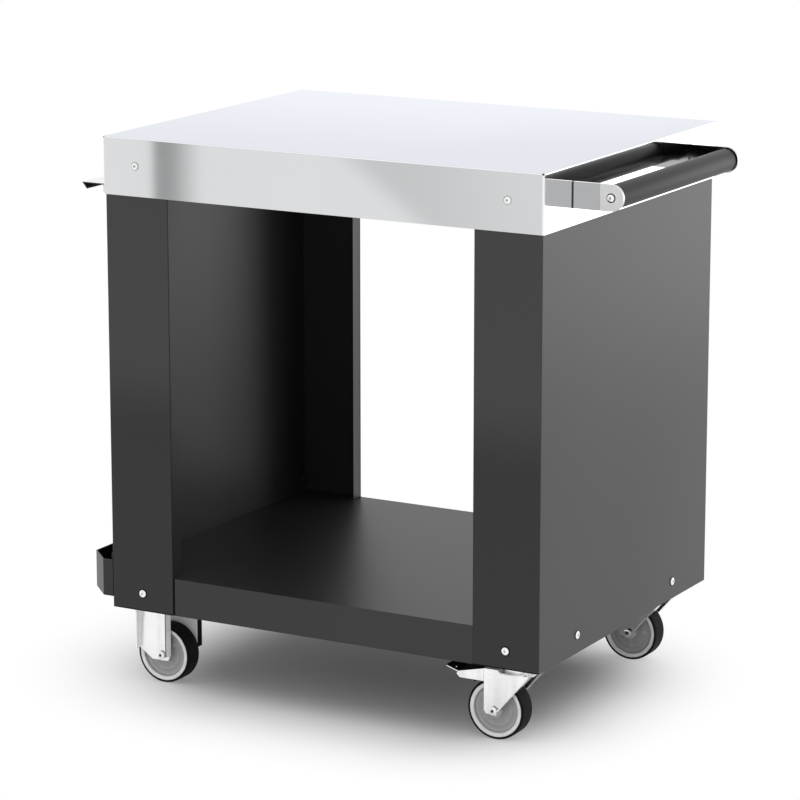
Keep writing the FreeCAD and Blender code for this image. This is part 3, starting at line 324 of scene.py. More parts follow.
def powder_coat():
    """Dark powder coat: fine orange peel, with a faint drift of tone over the sheet.

    Painted light and shade over it: the flanges paler high up and darker low down, a painted shade;
    the outer walls paler low down, painted light; the inner walls darker near the front and low
    down, a painted shade. Painted shadow darkens the slit between the left flange and the shelf,
    the flanges' lower edges, the rings round the shelf's screws and the lips. The rail's top is
    bright, a painted reflection.
    """
    it = Finish("powder_coat")
    x, y, z = it.axis("X"), it.axis("Y"), it.axis("Z")
    out_x, from_middle = it.outwards("X"), abs(x - TABLE_X)
    peel, pits, drift = it.noise(620, 2.0, 0.5), it.speckle(900), it.noise(2.2, 3.0, 0.5)
    coat = it.mixed(drift.rise(0.3, 0.7), (0.013, 0.013, 0.0138), (0.018, 0.018, 0.0188))

    front = it.outwards("Y").rise(0.2, 0.3)
    flange = front * (from_middle > FLANGE_EDGE)
    # Painted shade: the flanges darker towards the floor.
    flange_coat_and_shade = it.mixed(z.rise(*FLANGE_UP), (0.007, 0.007, 0.0074), (0.029, 0.029, 0.030))
    # Painted shadow in the slit between the left flange and the shelf, on the left side only.
    slit = front * (from_middle > FLANGE_EDGE - SLIT_WIDTH) * (from_middle < FLANGE_EDGE)
    # Painted shade along the flanges' lower edges.
    low_edge_shadow = flange * (z < FLANGE_LOW + LOW_EDGE_WIDTH)
    # Painted contact shadows: rings round the shelf's screws.
    ring = (it.near(FLANGE_SCREW_X * MM, FLANGE_SEAT * MM, SHELF_SCREW_Z * MM, SCREW_SHADOW_RING)
            + it.near(SIDE_RING_X * MM, SIDE_SCREW_Y * MM, SHELF_SCREW_Z * MM, SCREW_SHADOW_RING))

    outer, inner = out_x.rise(*WALLS), (-out_x).rise(*WALLS)
    # Painted light: the outer walls paler low down and towards the rear.
    outer_painted_light = outer * (1 - z.rise(*WALL_UP)) * (0.42 + y.rise(*WALL_TO_REAR) * 0.58)
    # Painted shade on the inner walls towards the front.
    inner_painted_shade = inner * (1 - y.rise(*DEEP_TO_REAR))
    wall = it.mixed(inner_painted_shade, it.mixed(outer_painted_light, coat, (0.036, 0.036, 0.037)), grey(0.004))
    low_down = 1 - z.rise(*INSIDE_UP)
    # More painted shade on the inner walls, near the front and low down.
    inner_low_painted_shade = inner * (1 - y.rise(*DARK_TO_REAR)) * (0.12 + low_down * 0.26)
    lip = it.facing("X").rise(0.5, 0.9) * (from_middle < FLANGE_EDGE + LIP_SHEET)
    # Painted shade on the lips: along the rear lip, and on the front lips low down.
    lip_painted_shade = lip * (y.rise(*REAR_LIP) * 0.35 + (y < 0.0) * (0.15 + low_down * 0.3))

    # The painted shade and shadow above, all mixed towards black.
    dark = slit * (x < 0.0) * 0.9 + ring * 0.6 + low_edge_shadow * 0.8 + inner_low_painted_shade + lip_painted_shade
    # Painted reflection: the rail's top bright, glossier and metal.
    rail_top_reflection = it.facing("Z").rise(0.8, 0.95) * (z > RAIL_LOW) * (x < RAIL_INSIDE)
    color = it.mixed(dark, it.mixed(flange, wall, flange_coat_and_shade), grey(0.001))
    color = it.mixed(rail_top_reflection, color, (0.86, 0.86, 0.865))
    rough = 0.36 + peel * 0.06 + drift * 0.03 - rail_top_reflection * 0.18
    bump = it.bumped(peel * 0.8 + pits * 0.2, 0.09 * MM, 0.35)
    return it.surface(color, rough, dark.at_least(rail_top_reflection), bump)


def bright_zinc(name, low, high, rough, reflection_bands=0.0):
    """Bright zinc plating: faint spangle, and painted shade where the mesh marks it.

    Given a strength for its stripes, it is the plating of the forks and pedals: soft upright
    stripes of painted reflection, and thin painted shadow lines where the pedals slide in between
    the cheeks and where the fixed forks' cheeks are folded. The fixed forks' folds carry a painted
    highlight at the front cheek and painted shade, black, at the rear one, whose inside is made
    matt and mid grey, painted light.
    """
    it = Finish(name)
    spangle = it.speckle(420)
    cloud = it.noise(50, 2.0, 0.5)
    # Painted reflection: soft upright stripes over the forks and pedals.
    reflection_band = it.drawn(48, 48, 4, 1.0, 0.4).rise(0.36, 0.64) * reflection_bands
    plated = it.mixed((cloud * 0.35 + spangle * 0.15 + 0.55 - reflection_band).rise(0.0, 0.9), low, high)
    x = it.axis("X")
    # Painted shadow lines: where the pedals slide in between the cheeks, and along the fixed forks'
    # folds.
    line = (abs(x - PEDAL_SLOT) < 1.0 * MM) + (abs(x - FOLD_LINE) < 1.1 * MM)
    color = it.mixed(line * 0.85, plated, grey(0.02))
    # Painted shade kept by the mesh: in screw sockets, on screw flanges, in bolt dimples and under
    # bolt heads.
    color = it.mixed(it.kept("painted_shade_and_tone"), color, grey(0.012))
    metal = 1 - it.facing("X").rise(0.8, 0.95) * 0.6
    if reflection_bands:
        y, left = it.axis("Y"), x < 0.0
        rear_cheek = (y - y.math("SIGN") * HUB_Y > 0.0) * left
        # Painted highlight on the front cheeks' folds and painted shade, black, on the rear ones.
        fold = it.normal("X").rise(0.8, 0.95) * left
        front_fold_highlight, rear_fold_shade = fold * (1 - rear_cheek), fold * rear_cheek
        # Painted light: the rear cheek's inside made matt and mid grey so that it shows lit.
        inside = (-it.normal("Y")).rise(0.8, 0.95) * rear_cheek
        color = it.mixed(front_fold_highlight, color, grey(0.97))
        color = it.mixed(rear_fold_shade, color, grey(0.010))
        color = it.mixed(inside, color, (0.75, 0.75, 0.755))
        metal = (metal * (1 - front_fold_highlight - inside * 0.9)).at_least(rear_fold_shade)
    bump = it.bumped(cloud * 0.6 + spangle * 0.4, 0.02 * MM, 0.4)
    return it.surface(color, rough + cloud * 0.06, metal, bump)


def satin_paint():
    """Black satin paint of the grip, drawn lengthwise, with painted shade on the side towards the
    worktop and painted shadow at the ends.
    """
    it = Finish("satin_paint")
    grain = it.drawn(700, 14, 700)
    fine = it.noise(1400, 2.0, 0.6)
    # Painted shade on the side that faces the worktop.
    shade_towards_worktop = (-it.normal("X")).rise(0.05, 0.6) * 0.8
    # Painted shadow at the ends, where the grip meets the arms.
    end = abs(it.axis("Y")).rise(GRIP_HALF - 5.5 * MM, GRIP_HALF - 3.5 * MM)
    grip_painted_shade = shade_towards_worktop.at_least(end)
    paint = it.mixed(grain, (0.018, 0.018, 0.019), (0.028, 0.028, 0.029))
    color = it.mixed(grip_painted_shade, paint, grey(0.003))
    bump = it.bumped(fine, 0.03 * MM, 0.3)
    return it.surface(color, 0.44 + fine * 0.08, grip_painted_shade * 0.9, bump, IOR=1.36)


def moulded(name, low, high, rough, gloss=1.5, shade_and_tone_color=grey(0.0)):
    """Moulded plastic or rubber: fine grain, a faint cloud, and a darker colour in the rows that
    the mesh marks: painted shade, and on the wheel's rim also the disc's own darker grey.
    """
    it = Finish(name)
    grain = it.noise(900, 3.0, 0.6)
    cloud = it.noise(45, 3.0, 0.5)
    skin = it.mixed(cloud.rise(0.3, 0.7), low, high)
    color = it.mixed(it.kept("painted_shade_and_tone"), skin, shade_and_tone_color)
    bump = it.bumped(grain, 0.06 * MM, 0.4)
    return it.surface(color, rough + grain * 0.12, 0.0, bump, IOR=gloss)


FINISHES = {
    "stainless": stainless_sheet(),
    "arm_steel": arm_bar(),
    "powder_coat": powder_coat(),
    "screw_steel": bright_zinc("screw_steel", (0.80, 0.80, 0.81), (0.96, 0.96, 0.965), 0.16),
    "zinc": bright_zinc("zinc", (0.62, 0.625, 0.63), grey(0.96), 0.20, reflection_bands=0.30),
    "grip_black": satin_paint(),
    "plug_black": moulded("plug_black", grey(0.020), grey(0.030), 0.5),
    "pad_black": moulded("pad_black", grey(0.006), grey(0.010), 0.6, gloss=1.3),
    "rim_grey": moulded("rim_grey", (0.72, 0.72, 0.725), (0.80, 0.80, 0.805), 0.34,
                        shade_and_tone_color=(0.29, 0.29, 0.295)),
    "tyre_black": moulded("tyre_black", grey(0.003), grey(0.006), 0.6, gloss=1.22),
}

for part_node, part_slot in SLOT_OF.items():
    part_mesh = frame["nodes"][part_node].data
    part_mesh.materials.clear()
    part_mesh.materials.append(FINISHES[part_slot])

# ---------------------------------------------------------------- surfaces

MERGE, DEGENERATE = 2e-6, 1e-6


def linked(name, data):
    """A new object in the scene."""
    item = bpy.data.objects.new(name, data)
    bpy.context.scene.collection.objects.link(item)
    return item


def stand_in(node, grids, closed=False, sharp=35, painted_shade_and_tone=None, name=None, slot=None):
    """The piece that is seen in a node's place, from grids of points whose columns go right round.

    Quads join each point to its neighbours. With closed, the last row joins the first one, and
    otherwise the rows end on an axis. One number per row, kept as an attribute, says how dark the
    row is painted: painted shade, and on the wheel's rim also its own darker tone.
    """
    points, quads, shades_and_tones, start = [], [], [], 0
    for grid in grids:
        rows, columns = grid.shape[:2]
        row = np.arange(rows if closed else rows - 1)[:, None]
        column = np.arange(columns)[None, :]
        right, below = (column + 1) % columns, (row + 1) % rows
        quad = np.stack([row * columns + column, row * columns + right,
                         below * columns + right, below * columns + column], -1)
        quads.append(quad.reshape(-1, 4) + start)
        points.append(grid.reshape(-1, 3))
        if painted_shade_and_tone is not None:
            shades_and_tones.append(np.repeat(np.asarray(painted_shade_and_tone, float), columns))
        start += rows * columns
    points, quads = np.concatenate(points), np.concatenate(quads)
    mesh = bpy.data.meshes.new(node + "_surface")
    mesh.vertices.add(len(points))
    mesh.vertices.foreach_set("co", points.astype(np.float32).ravel())
    mesh.loops.add(quads.size)
    mesh.loops.foreach_set("vertex_index", quads.astype(np.int32).ravel())
    mesh.polygons.add(len(quads))
    mesh.polygons.foreach_set("loop_start", np.arange(0, quads.size, 4, dtype=np.int32))
    mesh.update(calc_edges=True)
    if painted_shade_and_tone is not None:
        layer = mesh.attributes.new("painted_shade_and_tone", "FLOAT", "POINT")
        layer.data.foreach_set("value", np.concatenate(shades_and_tones).astype(np.float32))
    finished(mesh, node, sharp, name or node + "_surface", slot or SLOT_OF[node])


def finished(mesh, node, sharp, name, slot):
    """Closes a mesh's seams and poles, turns its faces outwards and puts it in the node's place."""
    work = bmesh.new()
    work.from_mesh(mesh)
    bmesh.ops.remove_doubles(work, verts=work.verts, dist=MERGE)
    bmesh.ops.dissolve_degenerate(work, edges=work.edges, dist=DEGENERATE)
    bmesh.ops.recalc_face_normals(work, faces=work.faces)
    work.to_mesh(mesh)
    work.free()
    mesh.shade_smooth()
    mesh.set_sharp_from_angle(angle=math.radians(sharp))
    mesh.materials.append(FINISHES[slot])
    item = linked(name, mesh)
    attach(item, BODY_OF[node])
    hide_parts(node)


def place(x, y, z):
    """A point given in millimetres: from the table's middle, from its middle and from the floor."""
    return np.array([TABLE_X + x * MM, y * MM, z * MM])


# Each direction with the two others that a profile is turned through.
AXES = {"+X": ((1, 0, 0), (0, 1, 0), (0, 0, 1)), "-X": ((-1, 0, 0), (0, 0, 1), (0, 1, 0)),
        "+Y": ((0, 1, 0), (0, 0, 1), (1, 0, 0)), "-Y": ((0, -1, 0), (1, 0, 0), (0, 0, 1)),
        "+Z": ((0, 0, 1), (1, 0, 0), (0, 1, 0))}
ENDS = ((-1, "-Y"), (1, "+Y"))
SCREW_STEPS, TYRE_STEPS, GRIP_STEPS, RIM_STEPS, RIVET_STEPS = 48, 96, 96, 144, 24


def angles(steps):
    return np.arange(steps) * 2 * math.pi / steps


def turned(centre, direction, radii, heights, steps=SCREW_STEPS):
    """A profile turned about an axis: centre + height * axis + radius * (cos, sin) of the angle.

    Each profile point gives one radius, or one for each angle, in millimetres, as heights do.
    """
    axis, first, second = (np.array(v, float) for v in AXES[direction])
    angle = angles(steps)
    radii = np.array([np.broadcast_to(r, steps) for r in radii]) * MM
    heights = np.array([np.broadcast_to(h, steps) for h in heights]) * MM
    ring = np.cos(angle)[:, None] * first + np.sin(angle)[:, None] * second
    return centre + heights[..., None] * axis + radii[..., None] * ring


def hexagon(across):
    """Radius at each angle of a hexagon that is that wide between its flats.

    It is half that width over the cosine of the angle from the nearest flat's middle.
    """
    sixth = math.pi / 3
    from_flat = (angles(SCREW_STEPS) + sixth / 2) % sixth - sixth / 2
    return across / 2 / np.cos(from_flat)


# ---------------------------------------------------------------- screws and bolts


def screw_head(radius, height, flange, flange_height, socket, shank, length, ring=1.0):
    """Profile of a button head: socket, dome as a quarter ellipse, flange, and the shank behind.

    The ring is how dark the painted contact shadow on the flange and the dome's foot is. Gives
    radii, heights and each row's painted shade, which also darkens the socket.
    """
    rim = socket * 0.62
    turn = np.linspace(math.pi / 2, 0, 9)
    dome_r = rim + (radius - rim) * np.cos(turn)
    dome_h = flange_height + (height - flange_height) * np.sin(turn)
    flat = hexagon(socket)
    brim = radius + flange
    radii = [0, flat, flat, rim * 1.02, *dome_r, brim, brim, shank, shank, 0]
    floor, mouth = height * 0.6, height * 0.93
    heights = [floor, floor, mouth, height, *dome_h, flange_height * 0.55, 0, 0, -length, -length]
    shades_and_tones = [0.5, 0.5, 0.2, 0, *np.zeros(7), 0.3 * ring, 0.95 * ring, ring, ring, 1, 1, 1]
    return radii, heights, shades_and_tones


def screws(node, spots):
    """The screws of one node, each given by its place, the way it faces and its sizes."""
    grids, shades_and_tones = [], None
    for spot, direction, sizes in spots:
        radii, heights, shades_and_tones = screw_head(**sizes)
        grids.append(turned(place(*spot), direction, radii, heights))
    stand_in(node, grids, sharp=40, painted_shade_and_tone=shades_and_tones)


# ring sets how dark each screw's painted contact shadow is.
SKIRT_SCREW = dict(radius=5.7, height=3.0, flange=1.7, flange_height=0.8, socket=3.4, shank=3.0,
                   length=10, ring=0.5)
POCKET_SCREW = SKIRT_SCREW | dict(length=7, ring=0.0)
SHELF_SCREW = SKIRT_SCREW | dict(radius=6.5, flange=0.9, ring=1.0)
RAIL_SCREW = dict(radius=5.25, height=3.0, flange=0.05, flange_height=0.4, socket=3.4, shank=3.0,
                  length=11.5)
GRIP_BOLT = dict(radius=6.1, height=4.0, flange=1.4, flange_height=0.5, socket=4.0, shank=4.0,
                 length=26)

screws("worktop_screws", [((x, side * SKIRT_SEAT, SKIRT_SCREW_Z), face, SKIRT_SCREW)
                          for x in (-FLANGE_SCREW_X, FLANGE_SCREW_X) for side, face in ENDS])
screws("shelf_screws", [((x, side * FLANGE_SEAT, SHELF_SCREW_Z), face, SHELF_SCREW)
                        for x in (-FLANGE_SCREW_X, FLANGE_SCREW_X) for side, face in ENDS]
       + [((x, y, SHELF_SCREW_Z), face, SHELF_SCREW) for y in (-SIDE_SCREW_Y, SIDE_SCREW_Y)
          for x, face in ((LEFT_SEAT, "-X"), (RIGHT_SEAT, "+X"))])
screws("rail_and_pocket_screws",
       [((RAIL_SEAT, y, RAIL_SCREW_Z), "-X", RAIL_SCREW) for y in RAIL_SCREWS_Y]
       + [((LEFT_SEAT, y, POCKET_SCREW_Z), "-X", POCKET_SCREW)
          for y in (-POCKET_SCREW_Y, POCKET_SCREW_Y)])
screws("handle_bolts", [((GRIP_BOLT_X, side * ARM_OUT, GRIP_BOLT_Z), face, GRIP_BOLT)
                        for side, face in ENDS])


def hexagon_head(across, height, shank, length):
    """A hexagon head with a centre dimple and its corners turned off, and the shank it is on;
    painted shade darkens the dimple, the lower corners and the underside.
    """
    flat = hexagon(across)
    face, chamfer, corner = across * 0.46, across * 0.53, across * 0.60
    dimple, foot = across * 0.16, across * 0.45
    radii = [0, dimple, dimple * 1.15, face, np.minimum(flat, chamfer), np.minimum(flat, corner),
             flat, np.minimum(flat, chamfer), foot, shank, shank, 0]
    heights = [height - 1.2, height - 1.2, height, height, height - 0.35, height - 1.1,
               0.9, 0.3, 0, 0, -length, -length]
    shades_and_tones = [1, 1, 0.3, 0, 0, 0, 0.7, 1, 1, 1, 0, 0]
    return radii, heights, shades_and_tones


AXLE_ENDS = (("axle_bolt", -1, "-Y", hexagon_head(13, 5.3, shank=4, length=20)),
             ("axle_nut", 1, "+Y", hexagon_head(13, 6.5, shank=4, length=2)))
FORK_OUTSIDE = 22.5 * MM

for corner in CORNERS:
    for hardware, side, face, (radii, heights, shades_and_tones) in AXLE_ENDS:
        seat = middle(f"tyre_{corner}") + np.array([0, side * FORK_OUTSIDE, 0])
        stand_in(f"{hardware}_{corner}", [turned(seat, face, radii, heights)], painted_shade_and_tone=shades_and_tones)

# ---------------------------------------------------------------- wheels


# Half the tyre's section in millimetres; a pair is a radius and a half width.
BED, BED_LIP = (46.0, 16.7), (46.3, 16.95)
SHOULDER_CENTRE, SHOULDER = (46.9, 14.1), 2.9
CROWN, CROWN_RISE, CROWN_HALF, TREAD_HALF = 49.79, 0.2, 14, 13.2
PARTING_HALF, PARTING_DEPTH = 0.4, 0.12


def tyre_rows():
    """Section of the tyre as (radius, across): flat bed, bulged sides, round shoulders, low crown.

    Each half shoulder is a quarter circle; the crown is a parabola with a fine parting line.
    """
    turn = np.linspace(0, math.pi / 2, 7)
    shoulder_r = SHOULDER_CENTRE[0] + SHOULDER * np.sin(turn)
    shoulder_y = SHOULDER_CENTRE[1] + SHOULDER * np.cos(turn)
    across = np.linspace(TREAD_HALF, 0, 12)
    parting = PARTING_DEPTH * (across < PARTING_HALF)
    crown = CROWN + CROWN_RISE * (1 - (across / CROWN_HALF) ** 2) - parting
    half_r = np.concatenate([[BED[0], BED_LIP[0]], shoulder_r, crown])
    half_y = np.concatenate([[BED[1], BED_LIP[1]], shoulder_y, across])
    return np.concatenate([half_r, half_r[-2::-1]]), np.concatenate([half_y, -half_y[-2::-1]])


# Half the wheel's section in millimetres: radius, half width, height of the ribs, and how far the
# row takes the darker colour: the recessed disc's own darker grey with painted shade, darkest at
# two ring lines.
RIM_ROWS = (
    (6.3, 19.0, 0, 0.8), (7.0, 19.5, 0, 0.8), (12.0, 19.5, 0, 0.8), (12.8, 19.0, 0, 0.8),
    (13.2, 12.6, 0.2, 1.0), (14.4, 12.3, 0.7, 1.0), (20.0, 12.3, 0.8, 1.0), (28.0, 12.3, 0.7, 0.9),
    (29.0, 12.3, 0, 1.3), (30.2, 11.6, 0, 1.0), (36.6, 11.3, 0, 0.8), (38.4, 11.9, 0, 1.3),
    (39.2, 14.8, 0, 0.5), (39.9, 16.1, 0, 0), (40.8, 16.5, 0, 0), (44.8, 16.5, 0, 0),
    (45.6, 16.3, 0, 0), (45.95, 15.6, 0, 0))
RIBS = 8


def rim_rows():
    """Section of the wheel as (radius, across) with each row's darker colour, its own tone and
    painted shade.

    A rib is a smooth bump, cos of the angle to its middle, over the zone between hub and step.
    """
    rib = np.clip(np.cos(RIBS * angles(RIM_STEPS)) * 3 - 2, 0, 1)
    radii = [r for r, _, _, _ in RIM_ROWS]
    across = [y + lift * rib for _, y, lift, _ in RIM_ROWS]
    shades_and_tones = [painted_shade_and_tone for _, _, _, painted_shade_and_tone in RIM_ROWS]
    return radii + radii[::-1], across + [-y for y in across[::-1]], shades_and_tones + shades_and_tones[::-1]


for corner in CORNERS:
    hub = middle(f"tyre_{corner}")
    radii, across = tyre_rows()
    stand_in(f"tyre_{corner}", [turned(hub, "+Y", radii, across, TYRE_STEPS)], closed=True,
             sharp=50)
    radii, across, shades_and_tones = rim_rows()
    stand_in(f"wheel_rim_{corner}", [turned(hub, "+Y", radii, across, RIM_STEPS)], closed=True,
             sharp=50, painted_shade_and_tone=shades_and_tones)

# ---------------------------------------------------------------- grip

GRIP_LOW, GRIP_HIGH = (np.array(v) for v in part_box("handle_grip"))
GRIP_LONG = (GRIP_HIGH[1] - GRIP_LOW[1]) / MM
GRIP_END = (GRIP_LOW + GRIP_HIGH) / 2
GRIP_END[1] = GRIP_LOW[1]
GRIP_BORE, BORE_CHAMFER, GRIP_RADIUS, GRIP_ROUNDING = 17.0, 0.3, 19.0, 0.7


def grip_rows():
    """Section of the tube's wall: from the bore over a chamfer and a quarter circle, end to end."""
    turn = np.linspace(0, math.pi / 2, 6)
    rounding_r = GRIP_RADIUS - GRIP_ROUNDING + GRIP_ROUNDING * np.sin(turn)
    rounding_y = GRIP_ROUNDING - GRIP_ROUNDING * np.cos(turn)
    half_r = np.concatenate([[GRIP_BORE, GRIP_BORE + BORE_CHAMFER], rounding_r])
    half_y = np.concatenate([[BORE_CHAMFER, 0.0], rounding_y])
    return (np.concatenate([half_r, half_r[::-1]]),
            np.concatenate([half_y, GRIP_LONG - half_y[::-1]]))


stand_in("handle_grip", [turned(GRIP_END, "+Y", *grip_rows(), GRIP_STEPS)], closed=True, sharp=40)

# ---------------------------------------------------------------- brake pads

PAD_THICK, PAD_HEEL, PAD_TIP_RISE = 2 * MM, 21 * MM, 7 * MM
PAD_STEPS, PAD_FALL = 67, 0.5 * MM
RIB_PITCH, RIB_HEIGHT, RIB_ROOM = 3.5 * MM, 0.35 * MM, 0.4 * MM
RIVET_IN, RIVET_OFF_MIDDLE = 14 * MM, 12 * MM
RIVET_RADIUS, RIVET_FOOT, RIVET_RIM, RIVET_DOME = 1.7, 1.0, 4.6, 0.8


def pad_grid(node):
    """Rubber pad: a grid from the tip over the heel to the knee of the pedal.

    Base = straight from the tip down to the heel and up to the knee; top = base + thickness + ribs,
    a raised cosine along X, faded near the rim; the sides and the underside close the same grid.
    """
    low, high = (np.array(v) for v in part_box(node))
    x = np.unique(np.concatenate([np.linspace(low[0], high[0], PAD_STEPS), [low[0] + PAD_HEEL]]))
    share = (x - low[0]) / (high[0] - low[0])
    base = np.interp(x, [low[0], low[0] + PAD_HEEL, high[0]],
                     [low[2] + PAD_TIP_RISE, low[2], high[2] - PAD_THICK])
    inner = np.clip(np.minimum(share, 1 - share) * 16, 0, 1)
    wave = np.clip(np.cos((x - low[0]) * 2 * math.pi / RIB_PITCH), -0.4, 0.6)
    ribs, fall = RIB_HEIGHT * wave * inner, PAD_FALL * (1 - inner) ** 2
    top = base + PAD_THICK - RIB_ROOM + ribs - fall
    section_x = np.concatenate([x, x[::-1]])
    section_z = np.concatenate([top, base[::-1]])
    bottom = np.concatenate([base, base[::-1]])
    across = np.array([0.0, 0.02, 0.06, 0.5, 0.94, 0.98, 1.0])
    lift = np.array([0.5, 0.8, 1.0, 1.0, 1.0, 0.8, 0.5])
    y = low[1] + (high[1] - low[1]) * across
    z = bottom[None, :] + (section_z - bottom)[None, :] * lift[:, None]
    grid = np.stack([np.broadcast_to(section_x, z.shape), np.broadcast_to(y[:, None], z.shape), z],
                    -1)
    first, last = grid[:1].copy(), grid[-1:].copy()
    for end in (first, last):
        end[..., 2] = bottom
    return np.concatenate([first, grid, last])


def rivet_grid(corner):
    """Small steel rivet through the pad's low corner: a quarter ellipse turned about +Z."""
    low, high = (np.array(v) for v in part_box(f"brake_pad_{corner}"))
    spot = np.array([low[0] + RIVET_IN, (low[1] + high[1]) / 2 - RIVET_OFF_MIDDLE, low[2]])
    turn = np.linspace(math.pi / 2, 0, 6)
    radii = [*(RIVET_RADIUS * np.cos(turn)), RIVET_RADIUS, 0]
    heights = [*(RIVET_RIM + RIVET_DOME * np.sin(turn)), RIVET_FOOT, RIVET_FOOT]
    return turned(spot, "+Z", radii, heights, RIVET_STEPS)


for corner in BRAKED_CORNERS:
    stand_in(f"brake_pad_{corner}", [pad_grid(f"brake_pad_{corner}")], sharp=30)
    stand_in(f"brake_pad_{corner}", [rivet_grid(corner)], sharp=50, name=f"pad_rivet_{corner}",
             slot="screw_steel")

# ---------------------------------------------------------------- edges of pressed and cut steel

SHARP_EDGE = math.radians(30)
FLAT_EDGE = math.radians(0.5)
SHORTEST_EDGE = 1.5 * MM
FORK_ROUNDING, PEDAL_ROUNDING, ARM_ROUNDING = 0.45, 0.3, 0.4


def eased(node, width):
    """A copy of a node with its outer edges rounded a little, as pressing or deburring leaves them.

    The width of the rounding is in millimetres.
    """
    mesh = frame["nodes"][node].data.copy()
    mesh.name = node + "_eased"
    work = bmesh.new()
    work.from_mesh(mesh)
    bmesh.ops.remove_doubles(work, verts=work.verts, dist=MERGE)
    bmesh.ops.dissolve_limit(work, angle_limit=FLAT_EDGE, verts=work.verts, edges=work.edges)
    weight = work.edges.layers.float.new("bevel_weight_edge")
    for edge in work.edges:
        if len(edge.link_faces) == 2 and edge.calc_length() > SHORTEST_EDGE:
            if abs(edge.calc_face_angle(0)) > SHARP_EDGE:
                edge[weight] = 1.0
    work.to_mesh(mesh)
    work.free()
    mesh.shade_smooth()
    mesh.set_sharp_from_angle(angle=SHARP_EDGE)
    mesh.materials.clear()
    mesh.materials.append(FINISHES[SLOT_OF[node]])
    item = linked(node + "_eased", mesh)
    bevel = item.modifiers.new("edges", "BEVEL")
    bevel.limit_method = "WEIGHT"
    bevel.width = width * MM
    bevel.segments = 2
    bevel.use_clamp_overlap = False
    bevel.harden_normals = True
    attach(item, BODY_OF[node])
    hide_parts(node)


for corner in CORNERS:
    eased(f"fork_{corner}", FORK_ROUNDING)
for corner in BRAKED_CORNERS:
    eased(f"brake_pedal_{corner}", PEDAL_ROUNDING)
for arm in ("handle_arm_front", "handle_arm_rear"):
    eased(arm, ARM_ROUNDING)

# ---------------------------------------------------------------- floor, light and camera

WHITE = (1.0, 1.0, 1.0, 1.0)
SHADE_MIDDLE = (-0.008, -0.033)  # of the rectangle that the shade's edge keeps its distance from
SHADE_HALF = (0.162, 0.074)
SHADE_PULL_LEFT, SHADE_PULL_RIGHT, SHADE_PULL_Y = 0.65, 0.875, 0.75
SHADE_CORE, SHADE_RIM, CORE_SHARE = (0.067, 0.270), (0.095, 0.346), 0.41


def pale_floor():
    """White floor: matt, and for what looks at it a painted shadow: darker in the table's shade and
    white beyond.

    The shade's edge follows the distance to a rectangle inside the table's outline: outside it
    the length of the steps past its sides, inside it the negative distance to the nearest side.
    Each pull is how much a step counts. The shade clears in two smooth steps, core and rim.
    """
    it = Finish("pale_floor")
    dust = it.noise(6.0, 2.0, 0.5)
    matt = it.node("ShaderNodeBsdfDiffuse", None, it.mixed(dust, grey(0.945), grey(0.955)))
    x, y = it.axis("X") - SHADE_MIDDLE[0], it.axis("Y") - SHADE_MIDDLE[1]
    past_x, past_y = abs(x) - SHADE_HALF[0], abs(y) - SHADE_HALF[1]
    pull_x = SHADE_PULL_LEFT + (x > 0.0) * (SHADE_PULL_RIGHT - SHADE_PULL_LEFT)
    out_x, out_y = past_x.at_least(0.0) * pull_x, past_y.at_least(0.0) * SHADE_PULL_Y
    away = (out_x * out_x + out_y * out_y) ** 0.5 + past_x.at_least(past_y).at_most(0.0)
    clear = away.rise(*SHADE_CORE) * CORE_SHARE + away.rise(*SHADE_RIM) * (1 - CORE_SHARE)
    shade = it.node("ShaderNodeBsdfDiffuse", None, it.mixed(dust, grey(0.645), grey(0.655)))
    white = it.node("ShaderNodeEmission", None, WHITE, 1.0)
    seen = it.node("ShaderNodeLightPath", output="Is Camera Ray")
    mirrored = it.node("ShaderNodeLightPath", output="Is Glossy Ray")
    through = it.node("ShaderNodeLightPath", output="Is Transmission Ray")
    looked_at = seen.at_least(mirrored.at_least(through))
    shown = it.node("ShaderNodeMixShader", None, clear, shade, white)
    return it.shown(it.node("ShaderNodeMixShader", None, looked_at, matt, shown))


GAP_LEFT, GAP_RIGHT, GAP_DEPTH = (-1.755, -1.725), (-1.71, -1.59), 0.46
FOLD_SLANT, FOLD_EDGE, FOLD_DEPTH = 1.4, (-0.53, -0.40), 0.185
SHEET_LEVEL, PALER_RIGHT, RIGHT_GAIN = 0.80, (-1.10, -0.70), 0.115
STRIP_EDGE, STRIP_LEVEL = (1.215, 1.225), 0.865


def soft_screen():
    """Pale screen seen only in the polished sheet: a dark gap, a slanted fold and a top strip."""
    it = Finish("soft_screen")
    across, up = it.axis("X"), it.axis("Z")
    gap = across.rise(*GAP_LEFT) * (1 - across.rise(*GAP_RIGHT))
    fold = (across + up * FOLD_SLANT).rise(*FOLD_EDGE)
    sheet = SHEET_LEVEL - fold * FOLD_DEPTH + across.rise(*PALER_RIGHT) * RIGHT_GAIN
    strip = up.rise(*STRIP_EDGE)
    level = sheet * (1 - strip) + strip * STRIP_LEVEL - gap * GAP_DEPTH
    return it.shown(it.node("ShaderNodeEmission", None, WHITE, level))


def card(name, corner, along, up, finish):
    """A flat stage card from one corner and its two edges."""
    corner, along, up = (np.array(v, float) for v in (corner, along, up))
    mesh = bpy.data.meshes.new(name)
    points = [corner, corner + along, corner + along + up, corner + up]
    mesh.from_pydata([tuple(p) for p in points], [], [(0, 1, 2, 3)])
    mesh.materials.append(finish)
    item = linked(name, mesh)
    return item


def aimed(item, spot, back):
    """Puts a lamp or camera at a spot, with its back turned to a direction."""
    item.location = spot
    item.rotation_mode = "QUATERNION"
    item.rotation_quaternion = back.to_track_quat("Z", "Y")


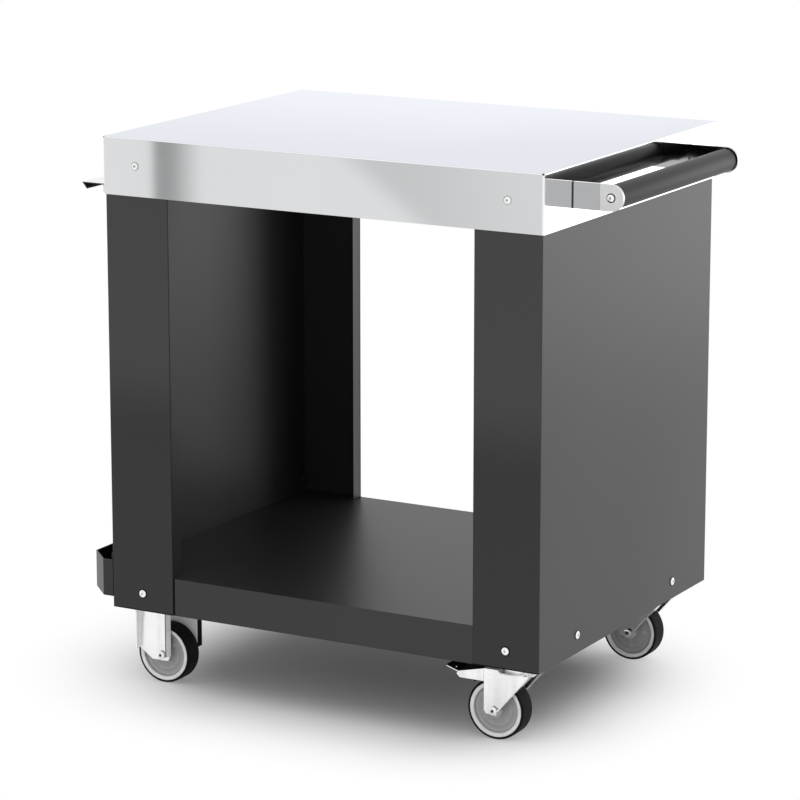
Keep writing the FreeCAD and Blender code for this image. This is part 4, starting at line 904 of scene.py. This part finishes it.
FLOOR_LONG = 60
SCREEN_CORNER, SCREEN_WIDE, SCREEN_HIGH = (-2.4, -2.5, 0.02), 2.1, 1.5
card("floor", (-FLOOR_LONG / 2, -FLOOR_LONG / 2, 0), (FLOOR_LONG, 0, 0), (0, FLOOR_LONG, 0),
     pale_floor())
screen = card("screen", SCREEN_CORNER, (SCREEN_WIDE, 0, 0), (0, 0, SCREEN_HIGH), soft_screen())
screen.visible_camera = False
screen.visible_diffuse = False
screen.visible_shadow = False

world = bpy.data.worlds.new("studio")
bpy.context.scene.world = world
world.use_nodes = True
sky = world.node_tree
sky.nodes.clear()
light_all_round = sky.nodes.new("ShaderNodeBackground")
light_all_round.inputs["Color"].default_value = WHITE
light_all_round.inputs["Strength"].default_value = 1.0
out = sky.nodes.new("ShaderNodeOutputWorld")
sky.links.new(light_all_round.outputs[0], out.inputs["Surface"])

LAMP_SPOT, LAMP_AIM = Vector((1.6, 2.6, 0.72)), Vector((0.2, 0, 0.72))
LAMP_SIZE, LAMP_WATTS = (1.9, 1.4), 11
lamp = bpy.data.lights.new("side_light", "AREA")
lamp.shape = "RECTANGLE"
lamp.size, lamp.size_y = LAMP_SIZE
lamp.energy = LAMP_WATTS
aimed(linked("side_light", lamp), LAMP_SPOT, LAMP_SPOT - LAMP_AIM)

CAMERA_SPOT = (2.75451, -5.03025, 1.77486)
CAMERA_AZIMUTH, CAMERA_ELEVATION = math.radians(29.04894), math.radians(12.80031)
SENSOR_MM, FOCAL_PIXELS, PICTURE_PIXELS = 36.0, 3524.54, 800
lens = bpy.data.cameras.new("camera")
lens.sensor_width = SENSOR_MM
lens.lens = SENSOR_MM * FOCAL_PIXELS / PICTURE_PIXELS
lens.clip_start, lens.clip_end = 0.1, 200
camera = linked("camera", lens)
aimed(camera, CAMERA_SPOT, Vector((math.sin(CAMERA_AZIMUTH) * math.cos(CAMERA_ELEVATION),
                                   -math.cos(CAMERA_AZIMUTH) * math.cos(CAMERA_ELEVATION),
                                   math.sin(CAMERA_ELEVATION))))
bpy.context.scene.camera = camera
bpy.context.scene.view_settings.view_transform = "Standard"

bpy.context.view_layer.update()
